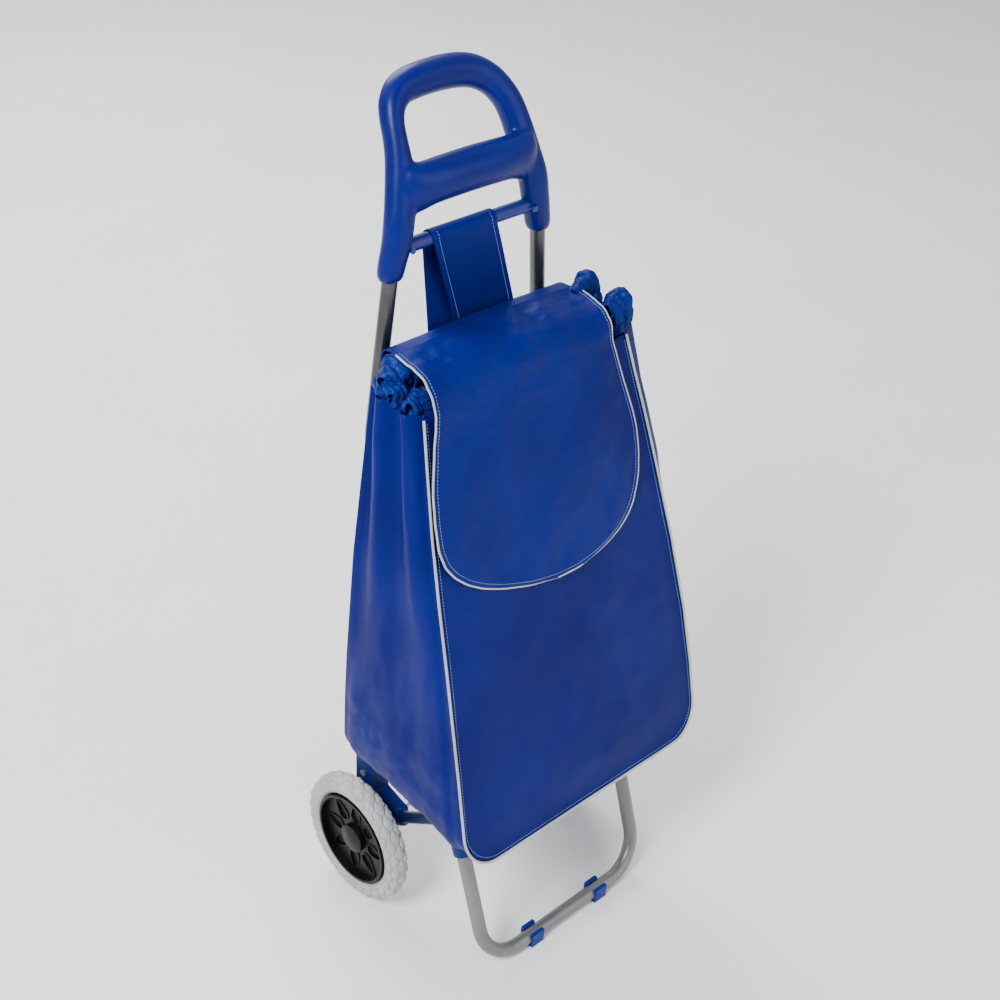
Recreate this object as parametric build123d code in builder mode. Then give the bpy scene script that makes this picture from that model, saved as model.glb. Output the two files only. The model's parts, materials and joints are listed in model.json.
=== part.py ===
from build123d import *
import math
import os

# Two-wheeled shopping trolley: a rigid tube frame with a moulded handle, a front stand, two
# foam-tyred wheels on a fixed axle, and a fabric bag with a gathered collar and a cover flap.
# Millimetres. +Z is up, -Y is the front. The origin is on the floor, under the middle of the
# whole trolley. "side" is -1 for the pieces at -X (left) and +1 for those at +X (right).

# ---- driving dimensions -------------------------------------------------------------------
# wheels and axle
WHEEL_RADIUS = 80.0
TYRE_THICKNESS = 24.0
TYRE_WIDTH = 28.0
TYRE_SHOULDER = 9.0
HUB_INSET = 9.0                # outer end of the hub's boss, inside the tyre's outer face
DISC_INSET = 12.0              # middle of the hub's disc, inside the tyre's outer face
LEAF_COUNT = 8                 # hollows in the hub's disc
CAP_RADIUS = 17.5
WHEEL_GAP = 7.0                # tyre to bracket
AXLE_RADIUS = 3.0
RUNNING_CLEARANCE = 0.05       # hub bore over axle, radial
PRESS_CLEARANCE = 0.02         # bracket and rings on the axle, radial
SIDE_PLAY = 0.3                # hub to each washer
WASHER_THICKNESS = 1.2
WASHER_RADIUS = 7.5
PUSH_NUT_THICKNESS = 1.5
PUSH_NUT_RADIUS = 6.0

# frame tubes
TUBE_RADIUS = 8.0
TUBE_WALL = 1.0
FIT = 0.1                      # radial clearance of a tube in its socket
TUBE_X = 116.0                 # centre of the straight lower part
TUBE_BOTTOM_BEHIND_AXLE = 16.0
TUBE_TOP_BEHIND_AXLE = 31.0
TUBE_BOTTOM_ABOVE_AXLE = 24.0
TUBE_BEND_BELOW_BAG_TOP = 68.0
TUBE_BEND_RADIUS = 90.0

# corner brackets, arms and rear brace
SLEEVE_WALL = 5.0
BRACKET_TOP_ABOVE_AXLE = 108.0
BRACKET_BOSS_WALL = 11.0
BRACKET_CORNER = 3.0
ARM_RADIUS = 7.0
ARM_SOCKET_WALL = 3.0
ARM_SOCKET_DEPTH = 20.0
ARM_OUTSIDE_TUBE = 3.0         # the arms stand this much further out than the uprights
ARM_REAR = (-26.0, 29.0)       # Y and Z from the axle of the rear end of the arm's centre line
ARM_FRONT_FROM_LEG = (12.0, -10.0)   # Y and Z of its front end from the top of the stand's leg
BRACE_RADIUS = 6.0
BRACE_BELOW_BRACKET_TOP = 14.0

# stand at the front
LEG_OUTSIDE_TUBE = 7.0
FOOT_AHEAD_OF_AXLE = 195.0
FOOT_BEND_RADIUS = 46.0
LEG_TOP_AHEAD_OF_AXLE = 131.0
LEG_TOP_Z = 186.0
ELBOW_LENGTH = 44.0
ELBOW_WALL = 3.2
ELBOW_CAP = 3.0
CLIP_X = 52.0
CLIP_WIDTH = 18.0
CLIP_WALL = 2.0

# bag
BAG_FRONT_REACH = 208.0        # front of the hem, ahead of the axle
BAG_BOTTOM_Z = 203.0
BAG_HEIGHT = 465.0
BAG_BOTTOM_BACK_HALF = 164.0
BAG_BOTTOM_FRONT_HALF = 170.0
BAG_TOP_BACK_HALF = 137.0
BAG_TOP_FRONT_HALF = 139.0
BAG_TOP_FRONT_REACH = 69.0
BAG_BACK_GAP = 2.0             # bag to uprights at the bottom
BAG_TOP_BACK_GAP = 10.0        # and at the top, where the yoke and the strap hang between
BAG_CORNER_RADIUS = 18.0
BAG_WALL = 2.0
BOARD_THICKNESS = 3.0
BOARD_CLEARANCE = 1.5
COLLAR_HEIGHT = 29.0
COLLAR_THICKNESS = 7.0
COLLAR_OVERHANG = 3.0          # the gathers stand out past the bag's walls
LUMP_RADIUS = 11.5
LUMP_PLACES = (12.0, 50.0)     # bunched folds, ahead of the axle

# handle and crossbar
HANDLE_ABOVE_BAG = 93.0        # lower end of the sockets over the bag's top
HANDLE_HEIGHT = 187.0
HANDLE_HALF_WIDTH = 113.0      # at the sockets
SHOULDER_HALF = 97.0           # at the grip
NECK_HALF = 79.0               # two thirds of the way up the loop
CROWN_HALF = 40.0              # where the loop turns over
LEG_WIDTH = 29.0
SOCKET_WALL = 3.5              # handle in front of and behind the tube
SOCKET_DEPTH = 40.0
SOCKET_CENTRE = 17.5           # centre of the tube's end, in from the outer face
LEAN_START = 41.0              # the legs lean back above this height over the sockets' ends
LEAN_GRIP = 12.0               # how far the grip lies behind the sockets
LEAN_TOP = 52.0                # how far the top lies behind them
GRIP_LOW = 70.0                # underside of the middle grip at the legs, over the sockets' ends
GRIP_HEIGHT = 36.0
GRIP_ARCH = 2.0                # how far the grip arches up in the middle
GRIP_INNER_HALF = 69.0         # space between the legs under the grip
LOOP_INNER_HALF = 56.0         # half-width of the upper opening
LOOP_THICKNESS = 32.0
CROSSBAR_RADIUS = 7.5
CROSSBAR_INSERT = 9.0          # length held in each handle leg
CROSSBAR_ABOVE_SOCKET = 32.0   # over the sockets' ends

# fasteners: shank radius, shank length, head radius, head height
SCREW = (1.5, 9.0, 3.2, 1.4)
RIVET = (2.0, 19.0, 4.0, 1.5)

# flap, yoke and hanging strap
FLAP_THICKNESS = 2.4
FLAP_HINGE_AHEAD_OF_AXLE = 3.0
FLAP_ABOVE_COLLAR = 7.0        # middle of the flap's thickness over the collar's edge
FLAP_REAR_HALF = 120.0
FLAP_FRONT_HALF = 126.0
FLAP_WIDEST_HALF = 136.0
FLAP_LOWER_HALF = 128.0
FLAP_DROP = 248.0              # length of the hanging part, down the slope
FLAP_WIDEST_DOWN = 159.0       # where it is widest, from the fold
FLAP_CORNER_RADIUS = 78.0
FLAP_GAP = 1.6                 # each half stops this far from the fold line
FLAP_STANDOFF = 9.0            # hanging part ahead of the bag's front
LAYER_GAP = 0.3                # between neighbouring layers of cloth
YOKE_BELOW_BAG_TOP = 16.0
STRAP_THICKNESS = 1.6
STRAP_CLEARANCE = 0.4
STRAP_LOW_ABOVE_BAG_TOP = 16.0
STRAP_TOP_EDGES = (-52.0, 38.0)      # X of both layers' edges at the crossbar
STRAP_FRONT_EDGES = (-18.0, 64.0)    # X of the front layer's edges at its lower end
STRAP_REAR_EDGES = (-54.0, 30.0)     # X of the rear layer's edges at its lower end

# ---- derived places -----------------------------------------------------------------------
HANDLE_HALF_DEPTH = TUBE_RADIUS + SOCKET_WALL
HANDLE_REAR_REACH = TUBE_TOP_BEHIND_AXLE + HANDLE_HALF_DEPTH + LEAN_TOP
AXLE_Y = (BAG_FRONT_REACH - max(WHEEL_RADIUS, HANDLE_REAR_REACH)) / 2
AXLE_Z = WHEEL_RADIUS
AXLE_LINE = Axis((0, AXLE_Y, AXLE_Z), (1, 0, 0))
RIM_RADIUS = WHEEL_RADIUS - TYRE_THICKNESS

BAG_TOP_Z = BAG_BOTTOM_Z + BAG_HEIGHT
HANDLE_BASE_Z = BAG_TOP_Z + HANDLE_ABOVE_BAG
HANDLE_TOP_Z = HANDLE_BASE_Z + HANDLE_HEIGHT
GRIP_LOW_Z = HANDLE_BASE_Z + GRIP_LOW
GRIP_HIGH_Z = GRIP_LOW_Z + GRIP_HEIGHT
LOOP_INNER_TOP_Z = HANDLE_TOP_Z - LOOP_THICKNESS
CROSSBAR_Z = HANDLE_BASE_Z + CROSSBAR_ABOVE_SOCKET

TUBE_BOTTOM_Y = AXLE_Y + TUBE_BOTTOM_BEHIND_AXLE
TUBE_BOTTOM_Z = AXLE_Z + TUBE_BOTTOM_ABOVE_AXLE
TUBE_BEND_Z = BAG_TOP_Z - TUBE_BEND_BELOW_BAG_TOP
TUBE_TOP_X = HANDLE_HALF_WIDTH - SOCKET_CENTRE
TUBE_TOP_Y = AXLE_Y + TUBE_TOP_BEHIND_AXLE
TUBE_TOP_Z = HANDLE_BASE_Z + SOCKET_DEPTH

BRACKET_TOP_Z = AXLE_Z + BRACKET_TOP_ABOVE_AXLE
BRACKET_HALF_WIDTH = TUBE_RADIUS + SLEEVE_WALL
BRACKET_OUTER_X = TUBE_X + BRACKET_HALF_WIDTH
FOOT_X = TUBE_X + LEG_OUTSIDE_TUBE
FOOT_Y = AXLE_Y - FOOT_AHEAD_OF_AXLE
FOOT_Z = CLIP_WALL + TUBE_RADIUS
LEG_TOP_Y = AXLE_Y - LEG_TOP_AHEAD_OF_AXLE
LEG_LEAN = math.degrees(math.atan2(LEG_TOP_Y - FOOT_Y, LEG_TOP_Z - FOOT_Z))
ARM_X = TUBE_X + ARM_OUTSIDE_TUBE
ARM_START = Vector(ARM_X, AXLE_Y + ARM_REAR[0], AXLE_Z + ARM_REAR[1])
ARM_END = Vector(ARM_X, LEG_TOP_Y + ARM_FRONT_FROM_LEG[0], LEG_TOP_Z + ARM_FRONT_FROM_LEG[1])
ARM_LENGTH = (ARM_END - ARM_START).length

WHEEL_INNER_X = BRACKET_OUTER_X + WHEEL_GAP
WHEEL_OUTER_X = WHEEL_INNER_X + TYRE_WIDTH
WHEEL_X = (WHEEL_INNER_X + WHEEL_OUTER_X) / 2
HUB_INNER_X = BRACKET_OUTER_X + WASHER_THICKNESS + SIDE_PLAY
HUB_OUTER_X = WHEEL_OUTER_X - HUB_INSET
OUTER_WASHER_X = HUB_OUTER_X + SIDE_PLAY
PUSH_NUT_X = OUTER_WASHER_X + WASHER_THICKNESS
AXLE_END_X = PUSH_NUT_X + PUSH_NUT_THICKNESS + 1.5

BAG_FRONT_BOTTOM_Y = AXLE_Y - BAG_FRONT_REACH
BAG_FRONT_TOP_Y = AXLE_Y - BAG_TOP_FRONT_REACH
BAG_SLOPE = (BAG_FRONT_TOP_Y - BAG_FRONT_BOTTOM_Y) / BAG_HEIGHT
BAG_BACK_TOP_Y = TUBE_TOP_Y - TUBE_RADIUS - BAG_TOP_BACK_GAP
COLLAR_TOP_Z = BAG_TOP_Z + COLLAR_HEIGHT
FLAP_Z = COLLAR_TOP_Z + FLAP_ABOVE_COLLAR
FLAP_HINGE_Y = AXLE_Y - FLAP_HINGE_AHEAD_OF_AXLE
FLAP_BEND_Y = BAG_FRONT_TOP_Y + BAG_SLOPE * (FLAP_Z - BAG_TOP_Z) - FLAP_STANDOFF
YOKE_Y = BAG_BACK_TOP_Y + COLLAR_OVERHANG + LAYER_GAP
STRAP_LOW_Y = YOKE_Y + FLAP_THICKNESS + LAYER_GAP + STRAP_THICKNESS / 2
STRAP_LOW_Z = BAG_TOP_Z + STRAP_LOW_ABOVE_BAG_TOP

SIDES = {"left": -1, "right": 1}


def save(part, name):
    """Label a finished sub-part and write its STEP."""
    part.label = name
    export_step(part, f"parts/{name}.step")


def wheel_section(side):
    """Half-section plane of a wheel: local x runs outward along the axle, local y is radial."""
    return Plane(origin=(0, AXLE_Y, AXLE_Z), x_dir=(side, 0, 0), z_dir=(0, -side, 0))


def wheel_face(side, x):
    """Plane across the axle at distance x from the middle, facing outward."""
    return Plane(origin=(side * x, AXLE_Y, AXLE_Z), x_dir=(0, 1, 0), z_dir=(side, 0, 0))


def across(x):
    """Plane across the trolley at X = x: local x is Y, local y is Z."""
    return Plane(origin=(x, 0, 0), x_dir=(0, 1, 0), z_dir=(1, 0, 0))


def swept_tube(points, bend_radius, outer, inner):
    """A round tube along straight runs joined by arcs; inner 0 makes a solid bar."""
    with BuildPart() as tube:
        with BuildLine() as path:
            FilletPolyline(*points, radius=bend_radius)
        wire = path.wires()[0]
        with BuildSketch(Plane(origin=wire @ 0, z_dir=wire % 0)):
            Circle(outer)
            if inner:
                Circle(inner, mode=Mode.SUBTRACT)
        sweep(path=wire)
    return tube.part


# ---- wheels -------------------------------------------------------------------------------
def tyre(side):
    """Foam tyre: flat tread, rounded shoulders, gripping the hub's rim."""
    with BuildPart() as body:
        with BuildSketch(wheel_section(side)):
            with Locations((WHEEL_X, WHEEL_RADIUS - TYRE_THICKNESS / 2)):
                blank = Rectangle(TYRE_WIDTH, TYRE_THICKNESS)
            tread = blank.vertices().group_by(Axis.Y)[-1]
            bead = blank.vertices().group_by(Axis.Y)[0]
            fillet(tread, radius=TYRE_SHOULDER)
            fillet(bead, radius=TYRE_SHOULDER / 3)
        revolve(axis=AXLE_LINE)
    return body.part


def leaf_outline(inner, outer):
    """One leaf: round towards the axle, pointed towards the rim, along local +x."""
    length = outer - inner
    half = 0.27 * length
    base_x = inner + 0.3 * length
    with BuildSketch() as leaf:
        with BuildLine():
            ThreePointArc((base_x, half), (inner, 0), (base_x, -half))
            for y in (-half, half):
                ThreePointArc((base_x, y), (inner + 0.68 * length, 0.68 * y), (outer, 0))
        make_face()
    return leaf.sketch


def hub(side):
    """Moulded hub: rim, recessed disc with leaf-shaped hollows, and a boss on the axle."""
    rim_wall = 3.0
    disc = 3.0
    boss_radius = 12.0
    lip = 1.4
    leaf_floor = 1.2
    disc_x = WHEEL_OUTER_X - DISC_INSET
    rim_half = TYRE_WIDTH / 2 - 2.0
    leaf_inner = CAP_RADIUS + 5.0
    leaf_outer = RIM_RADIUS - rim_wall - 4.0
    with BuildPart() as body:
        with BuildSketch(wheel_section(side)):
            with Locations((WHEEL_X, RIM_RADIUS - rim_wall / 2)):
                Rectangle(2 * rim_half, rim_wall)
            with Locations((disc_x, RIM_RADIUS / 2)):
                Rectangle(disc, RIM_RADIUS - rim_wall)
            with Locations(((HUB_INNER_X + HUB_OUTER_X) / 2, boss_radius / 2)):
                Rectangle(HUB_OUTER_X - HUB_INNER_X, boss_radius)
        revolve(axis=AXLE_LINE)
        with BuildSketch(wheel_face(side, disc_x)):
            with PolarLocations(0, LEAF_COUNT):
                add(leaf_outline(leaf_inner - lip, leaf_outer + 2 * lip))
        extrude(amount=disc / 2 + lip)
        with BuildSketch(wheel_face(side, disc_x - disc / 2 + leaf_floor)):
            with PolarLocations(0, LEAF_COUNT):
                add(leaf_outline(leaf_inner, leaf_outer))
        extrude(amount=3 * disc, mode=Mode.SUBTRACT)
        with BuildSketch(wheel_face(side, 0)):
            Circle(AXLE_RADIUS + RUNNING_CLEARANCE)
        extrude(amount=WHEEL_OUTER_X, mode=Mode.SUBTRACT)
    return body.part


def hub_cap(side):
    """Domed cap snapped over the boss, hollow round the axle's end and its push nut."""
    wall = 2.5
    hollow = 6.0
    edge = 5.5
    dome = 3.3
    dome_radius = (CAP_RADIUS**2 + dome**2) / (2 * dome)
    half_way = edge + dome - dome_radius + math.sqrt(dome_radius**2 - CAP_RADIUS**2 / 4)
    x = HUB_OUTER_X
    with BuildPart() as body:
        with BuildSketch(wheel_section(side)):
            with BuildLine():
                Polyline((x + edge + dome, 0), (x + hollow, 0), (x + hollow, CAP_RADIUS - wall),
                         (x, CAP_RADIUS - wall), (x, CAP_RADIUS), (x + edge, CAP_RADIUS))
                ThreePointArc((x + edge, CAP_RADIUS), (x + half_way, CAP_RADIUS / 2),
                              (x + edge + dome, 0))
            make_face()
        revolve(axis=AXLE_LINE)
    return body.part


def axle():
    """Plain steel rod through both brackets and both hubs."""
    with BuildPart() as body:
        with BuildSketch(Plane(origin=(-AXLE_END_X, AXLE_Y, AXLE_Z), z_dir=(1, 0, 0))):
            Circle(AXLE_RADIUS)
        extrude(amount=2 * AXLE_END_X)
        chamfer(body.edges().filter_by(GeomType.CIRCLE), length=0.6)
    return body.part


def rings_on_axle(x_inner, thickness, radius):
    """A pair of rings on the axle, one at each side, with faces from x_inner outward."""
    with BuildPart() as body:
        for side in SIDES.values():
            with BuildSketch(wheel_face(side, x_inner)):
                Circle(radius)
                Circle(AXLE_RADIUS + PRESS_CLEARANCE, mode=Mode.SUBTRACT)
            extrude(amount=thickness)
    return body.part


# ---- frame --------------------------------------------------------------------------------
def upright(side):
    """Main tube: straight from the bracket, bent inward above the bag and up into the handle."""
    points = ((side * TUBE_X, TUBE_BOTTOM_Y, TUBE_BOTTOM_Z),
              (side * TUBE_X, TUBE_TOP_Y, TUBE_BEND_Z),
              (side * TUBE_TOP_X, TUBE_TOP_Y, TUBE_TOP_Z))
    return swept_tube(points, TUBE_BEND_RADIUS, TUBE_RADIUS, TUBE_RADIUS - TUBE_WALL)


def upright_centre(side, z):
    """Centre of a main tube's lower part at height z."""
    share = (z - TUBE_BOTTOM_Z) / (TUBE_BEND_Z - TUBE_BOTTOM_Z)
    return Vector(side * TUBE_X, TUBE_BOTTOM_Y + share * (TUBE_TOP_Y - TUBE_BOTTOM_Y), z)


def socket_axis(side):
    """Plane at the bottom of an upright, looking up along it."""
    bottom = upright_centre(side, TUBE_BOTTOM_Z)
    return Plane(origin=bottom, z_dir=upright_centre(side, TUBE_BEND_Z) - bottom)


def arm_plane(side, along=0.0):
    """Plane across the arm at a distance along it from its rear end, looking forward."""
    start = Vector(side * ARM_START.X, ARM_START.Y, ARM_START.Z)
    forward = (ARM_END - ARM_START).normalized()
    return Plane(origin=start + forward * along, z_dir=forward)


def bracket(side):
    """Moulded corner bracket: sleeve for the upright, boss for the axle, socket for the arm."""
    half = BRACKET_HALF_WIDTH
    top = upright_centre(side, BRACKET_TOP_Z)
    low = upright_centre(side, TUBE_BOTTOM_Z)
    with BuildPart() as body:
        with BuildSketch(across(side * TUBE_X)):
            with BuildLine():
                Polyline((top.Y - half, top.Z), (top.Y + half, top.Z),
                         (low.Y + half, low.Z - 4.0), (AXLE_Y + 6.0, AXLE_Z - 12.0),
                         (AXLE_Y - 12.0, AXLE_Z - 8.0), (ARM_START.Y + 4.0, ARM_START.Z - 12.0),
                         (ARM_START.Y - 8.0, ARM_START.Z + 9.0), (low.Y - half, low.Z + 24.0),
                         close=True)
            outline = make_face()
            fillet(outline.vertices(), radius=BRACKET_CORNER)
            with Locations((AXLE_Y, AXLE_Z)):
                Circle(AXLE_RADIUS + BRACKET_BOSS_WALL)
        extrude(amount=BRACKET_HALF_WIDTH, both=True)
        with BuildSketch(arm_plane(side)):
            Circle(ARM_RADIUS + ARM_SOCKET_WALL)
        extrude(amount=ARM_SOCKET_DEPTH)
        with BuildSketch(arm_plane(side)):
            Circle(ARM_RADIUS + FIT)
        extrude(amount=ARM_LENGTH, mode=Mode.SUBTRACT)
        with BuildSketch(socket_axis(side)):
            Circle(TUBE_RADIUS + FIT)
        extrude(amount=TUBE_BEND_Z - TUBE_BOTTOM_Z, mode=Mode.SUBTRACT)
        with BuildSketch(wheel_face(side, 0)):
            Circle(AXLE_RADIUS + PRESS_CLEARANCE)
        extrude(amount=WHEEL_OUTER_X, mode=Mode.SUBTRACT)
    return body.part


def arm(side):
    """Straight painted tube from the bracket forward and up to the top of the stand's leg."""
    with BuildPart() as body:
        with BuildSketch(arm_plane(side)):
            Circle(ARM_RADIUS)
            Circle(ARM_RADIUS - TUBE_WALL, mode=Mode.SUBTRACT)
        extrude(amount=ARM_LENGTH)
    return body.part


def leg_plane(side):
    """Plane at the top of a stand leg, looking down along the leg."""
    top = Vector(side * FOOT_X, LEG_TOP_Y, LEG_TOP_Z)
    return Plane(origin=top, z_dir=Vector(side * FOOT_X, FOOT_Y, FOOT_Z) - top)


def elbow(side):
    """Moulded elbow: a sleeve over the leg's top, and a socket for the arm behind it."""
    leg = leg_plane(side)
    start = leg.origin - leg.z_dir * ELBOW_CAP
    with BuildPart() as body:
        with BuildSketch(Plane(origin=start, z_dir=leg.z_dir)):
            Circle(TUBE_RADIUS + ELBOW_WALL)
        extrude(amount=ELBOW_LENGTH)
        with BuildSketch(arm_plane(side, ARM_LENGTH - ARM_SOCKET_DEPTH)):
            Circle(ARM_RADIUS + ARM_SOCKET_WALL)
        extrude(amount=ARM_SOCKET_DEPTH + 4.0)
        with BuildSketch(across(side * ARM_X)):
            with Locations((LEG_TOP_Y - 0.5, LEG_TOP_Z - 18.0)):
                Rectangle(26.0, 24.0, rotation=LEG_LEAN)
        extrude(amount=4.0, both=True)
        with BuildSketch(leg):
            Circle(TUBE_RADIUS + FIT)
        extrude(amount=ELBOW_LENGTH, mode=Mode.SUBTRACT)
        with BuildSketch(arm_plane(side)):
            Circle(ARM_RADIUS + FIT)
        extrude(amount=ARM_LENGTH, mode=Mode.SUBTRACT)
    return body.part


def foot_tube():
    """U-shaped stand: two legs leaning back, joined by the bar across the floor."""
    points = ((-FOOT_X, LEG_TOP_Y, LEG_TOP_Z), (-FOOT_X, FOOT_Y, FOOT_Z),
              (FOOT_X, FOOT_Y, FOOT_Z), (FOOT_X, LEG_TOP_Y, LEG_TOP_Z))
    return swept_tube(points, FOOT_BEND_RADIUS, TUBE_RADIUS, TUBE_RADIUS - TUBE_WALL)


def foot_clip(side):
    """Snap-on foot: a cradle round the bar with a flat sole and two upright lips."""
    outer = TUBE_RADIUS + CLIP_WALL
    lip_top = FOOT_Z + TUBE_RADIUS + 1.0
    mouth = TUBE_RADIUS * 0.72
    with BuildPart() as body:
        with BuildSketch(across(side * CLIP_X)):
            with Locations((FOOT_Y, FOOT_Z)):
                Circle(outer)
            with Locations((FOOT_Y, outer / 2)):
                Rectangle(2 * outer, outer)
            with Locations((FOOT_Y, (FOOT_Z + lip_top) / 2)):
                Rectangle(2 * outer, lip_top - FOOT_Z)
            with Locations((FOOT_Y, FOOT_Z)):
                Circle(TUBE_RADIUS + FIT, mode=Mode.SUBTRACT)
            with Locations((FOOT_Y, FOOT_Z + outer)):
                Rectangle(2 * mouth, 2 * outer, mode=Mode.SUBTRACT)
        extrude(amount=CLIP_WIDTH / 2, both=True)
        fillet(body.edges().filter_by(Axis.X).group_by(Axis.Z)[0], radius=1.5)
    return body.part


def crossbar():
    """Round bar between the handle's legs, which the bag hangs from."""
    reach = handle_inner_x(CROSSBAR_Z) + CROSSBAR_INSERT
    with BuildPart() as body:
        with BuildSketch(Plane(origin=(-reach, TUBE_TOP_Y, CROSSBAR_Z), z_dir=(1, 0, 0))):
            Circle(CROSSBAR_RADIUS)
            Circle(CROSSBAR_RADIUS - TUBE_WALL, mode=Mode.SUBTRACT)
        extrude(amount=2 * reach)
    return body.part


def rear_brace():
    """Round cross tube between the two brackets' sleeves, under the back of the bag."""
    z = BRACKET_TOP_Z - BRACE_BELOW_BRACKET_TOP
    y = upright_centre(1, z).Y
    half = TUBE_X - BRACKET_HALF_WIDTH
    with BuildPart() as body:
        with BuildSketch(Plane(origin=(-half, y, z), z_dir=(1, 0, 0))):
            Circle(BRACE_RADIUS)
            Circle(BRACE_RADIUS - TUBE_WALL, mode=Mode.SUBTRACT)
        extrude(amount=2 * half)
    return body.part


# ---- handle -------------------------------------------------------------------------------
def handle_inner_x(z):
    """Half-width between the legs at the height of the lower opening."""
    share = (z - HANDLE_BASE_Z) / GRIP_LOW
    return (HANDLE_HALF_WIDTH - LEG_WIDTH) * (1 - share) + GRIP_INNER_HALF * share


def handle_front_view():
    """Sketch the right half's outline with both openings cut out, from the front."""
    base_inner = handle_inner_x(HANDLE_BASE_Z)
    grip_middle_low = GRIP_LOW_Z + GRIP_ARCH
    grip_middle_high = GRIP_HIGH_Z + GRIP_ARCH
    with BuildSketch() as view:
        with BuildLine():
            Line((0, HANDLE_BASE_Z), (HANDLE_HALF_WIDTH, HANDLE_BASE_Z))
            Spline((HANDLE_HALF_WIDTH, HANDLE_BASE_Z),
                   (HANDLE_HALF_WIDTH - 2.0, (HANDLE_BASE_Z + GRIP_HIGH_Z) / 2),
                   (SHOULDER_HALF, GRIP_HIGH_Z),
                   (NECK_HALF, GRIP_HIGH_Z + (HANDLE_TOP_Z - GRIP_HIGH_Z) * 2 / 3),
                   (CROWN_HALF, HANDLE_TOP_Z - 6.0), (0, HANDLE_TOP_Z),
                   tangents=((0, 1), (-1, 0)))
            Line((0, HANDLE_TOP_Z), (0, HANDLE_BASE_Z))
        make_face()
        # space between the legs, below the grip
        with BuildLine():
            Line((0, HANDLE_BASE_Z), (base_inner, HANDLE_BASE_Z))
            Line((base_inner, HANDLE_BASE_Z), (GRIP_INNER_HALF, GRIP_LOW_Z))
            Spline((GRIP_INNER_HALF, GRIP_LOW_Z), (0, grip_middle_low),
                   tangents=((-1, 0.1), (-1, 0)))
            Line((0, grip_middle_low), (0, HANDLE_BASE_Z))
        make_face(mode=Mode.SUBTRACT)
        # finger opening above the grip
        side_top = (LOOP_INNER_HALF + 1.0, (GRIP_HIGH_Z * 3 + LOOP_INNER_TOP_Z * 2) / 5)
        with BuildLine():
            Line((LOOP_INNER_HALF, GRIP_HIGH_Z), side_top)
            Spline(side_top, (LOOP_INNER_HALF * 2 / 3, LOOP_INNER_TOP_Z - 6.0),
                   (0, LOOP_INNER_TOP_Z), tangents=((0, 1), (-1, 0)))
            Line((0, LOOP_INNER_TOP_Z), (0, grip_middle_high))
            Spline((0, grip_middle_high), (LOOP_INNER_HALF, GRIP_HIGH_Z),
                   tangents=((1, 0), (1, -0.1)))
        make_face(mode=Mode.SUBTRACT)
    return view.sketch


def handle():
    """One moulding: two socketed legs, an arched middle grip and a rounded top loop."""
    lean_z = HANDLE_BASE_Z + LEAN_START
    with BuildPart() as body:
        with BuildSketch(Plane.XZ):
            add(handle_front_view())
            mirror(about=Plane.YZ)
        extrude(amount=TUBE_TOP_Y + LEAN_TOP + 2 * HANDLE_HALF_DEPTH, both=True)
        # side view: upright at the sockets, leaning back towards the top
        front, rear = TUBE_TOP_Y - HANDLE_HALF_DEPTH, TUBE_TOP_Y + HANDLE_HALF_DEPTH
        with BuildSketch(Plane.YZ):
            with BuildLine():
                for y in (front, rear):
                    Line((y, HANDLE_BASE_Z), (y, lean_z))
                    Spline((y, lean_z), (y + LEAN_GRIP, GRIP_HIGH_Z - 4.0),
                           (y + LEAN_TOP, HANDLE_TOP_Z), tangents=((0, 1), (0.6, 1)))
                Line((front, HANDLE_BASE_Z), (rear, HANDLE_BASE_Z))
                Line((front + LEAN_TOP, HANDLE_TOP_Z), (rear + LEAN_TOP, HANDLE_TOP_Z))
            make_face()
        extrude(amount=HANDLE_HALF_WIDTH, both=True, mode=Mode.INTERSECT)
        for side in SIDES.values():
            bend = Vector(side * TUBE_X, TUBE_TOP_Y, TUBE_BEND_Z)
            top = Vector(side * TUBE_TOP_X, TUBE_TOP_Y, TUBE_TOP_Z)
            with BuildSketch(Plane(origin=top, z_dir=bend - top)):
                Circle(TUBE_RADIUS + FIT)
            extrude(amount=(top - bend).length / 2, mode=Mode.SUBTRACT)
        reach = handle_inner_x(CROSSBAR_Z) + CROSSBAR_INSERT
        with BuildSketch(Plane(origin=(-reach, TUBE_TOP_Y, CROSSBAR_Z), z_dir=(1, 0, 0))):
            Circle(CROSSBAR_RADIUS + FIT)
        extrude(amount=2 * reach, mode=Mode.SUBTRACT)
    return body.part


def pins(places, kind):
    """Round-headed pins: each place is a plane on the surface, facing out of the material."""
    radius, depth, head_radius, head = kind
    with BuildPart() as body:
        for place in places:
            with BuildSketch(place):
                Circle(head_radius)
            extrude(amount=head)
            with BuildSketch(place):
                Circle(radius)
            extrude(amount=-depth)
    return body.part


def drilled(piece, places, kind):
    """The piece with a hole for each pin that reaches it."""
    radius, depth = kind[:2]
    with BuildPart() as body:
        add(piece)
        for place in places:
            with BuildSketch(place):
                Circle(radius)
            extrude(amount=-depth, mode=Mode.SUBTRACT)
    return body.part


def crossbar_screw_places():
    """On the front of each handle leg, where the crossbar ends."""
    x = handle_inner_x(CROSSBAR_Z) + CROSSBAR_INSERT / 2
    y = TUBE_TOP_Y - HANDLE_HALF_DEPTH
    return [Plane(origin=(side * x, y, CROSSBAR_Z), z_dir=(0, -1, 0)) for side in SIDES.values()]


def handle_screw_places():
    """On the back of each socket, over the tube inside it."""
    z = HANDLE_BASE_Z + 22.0
    share = (z - TUBE_BEND_Z) / (TUBE_TOP_Z - TUBE_BEND_Z)
    x = TUBE_X + share * (TUBE_TOP_X - TUBE_X)
    y = TUBE_TOP_Y + HANDLE_HALF_DEPTH
    return [Plane(origin=(side * x, y, z), z_dir=(0, 1, 0)) for side in SIDES.values()]


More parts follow.
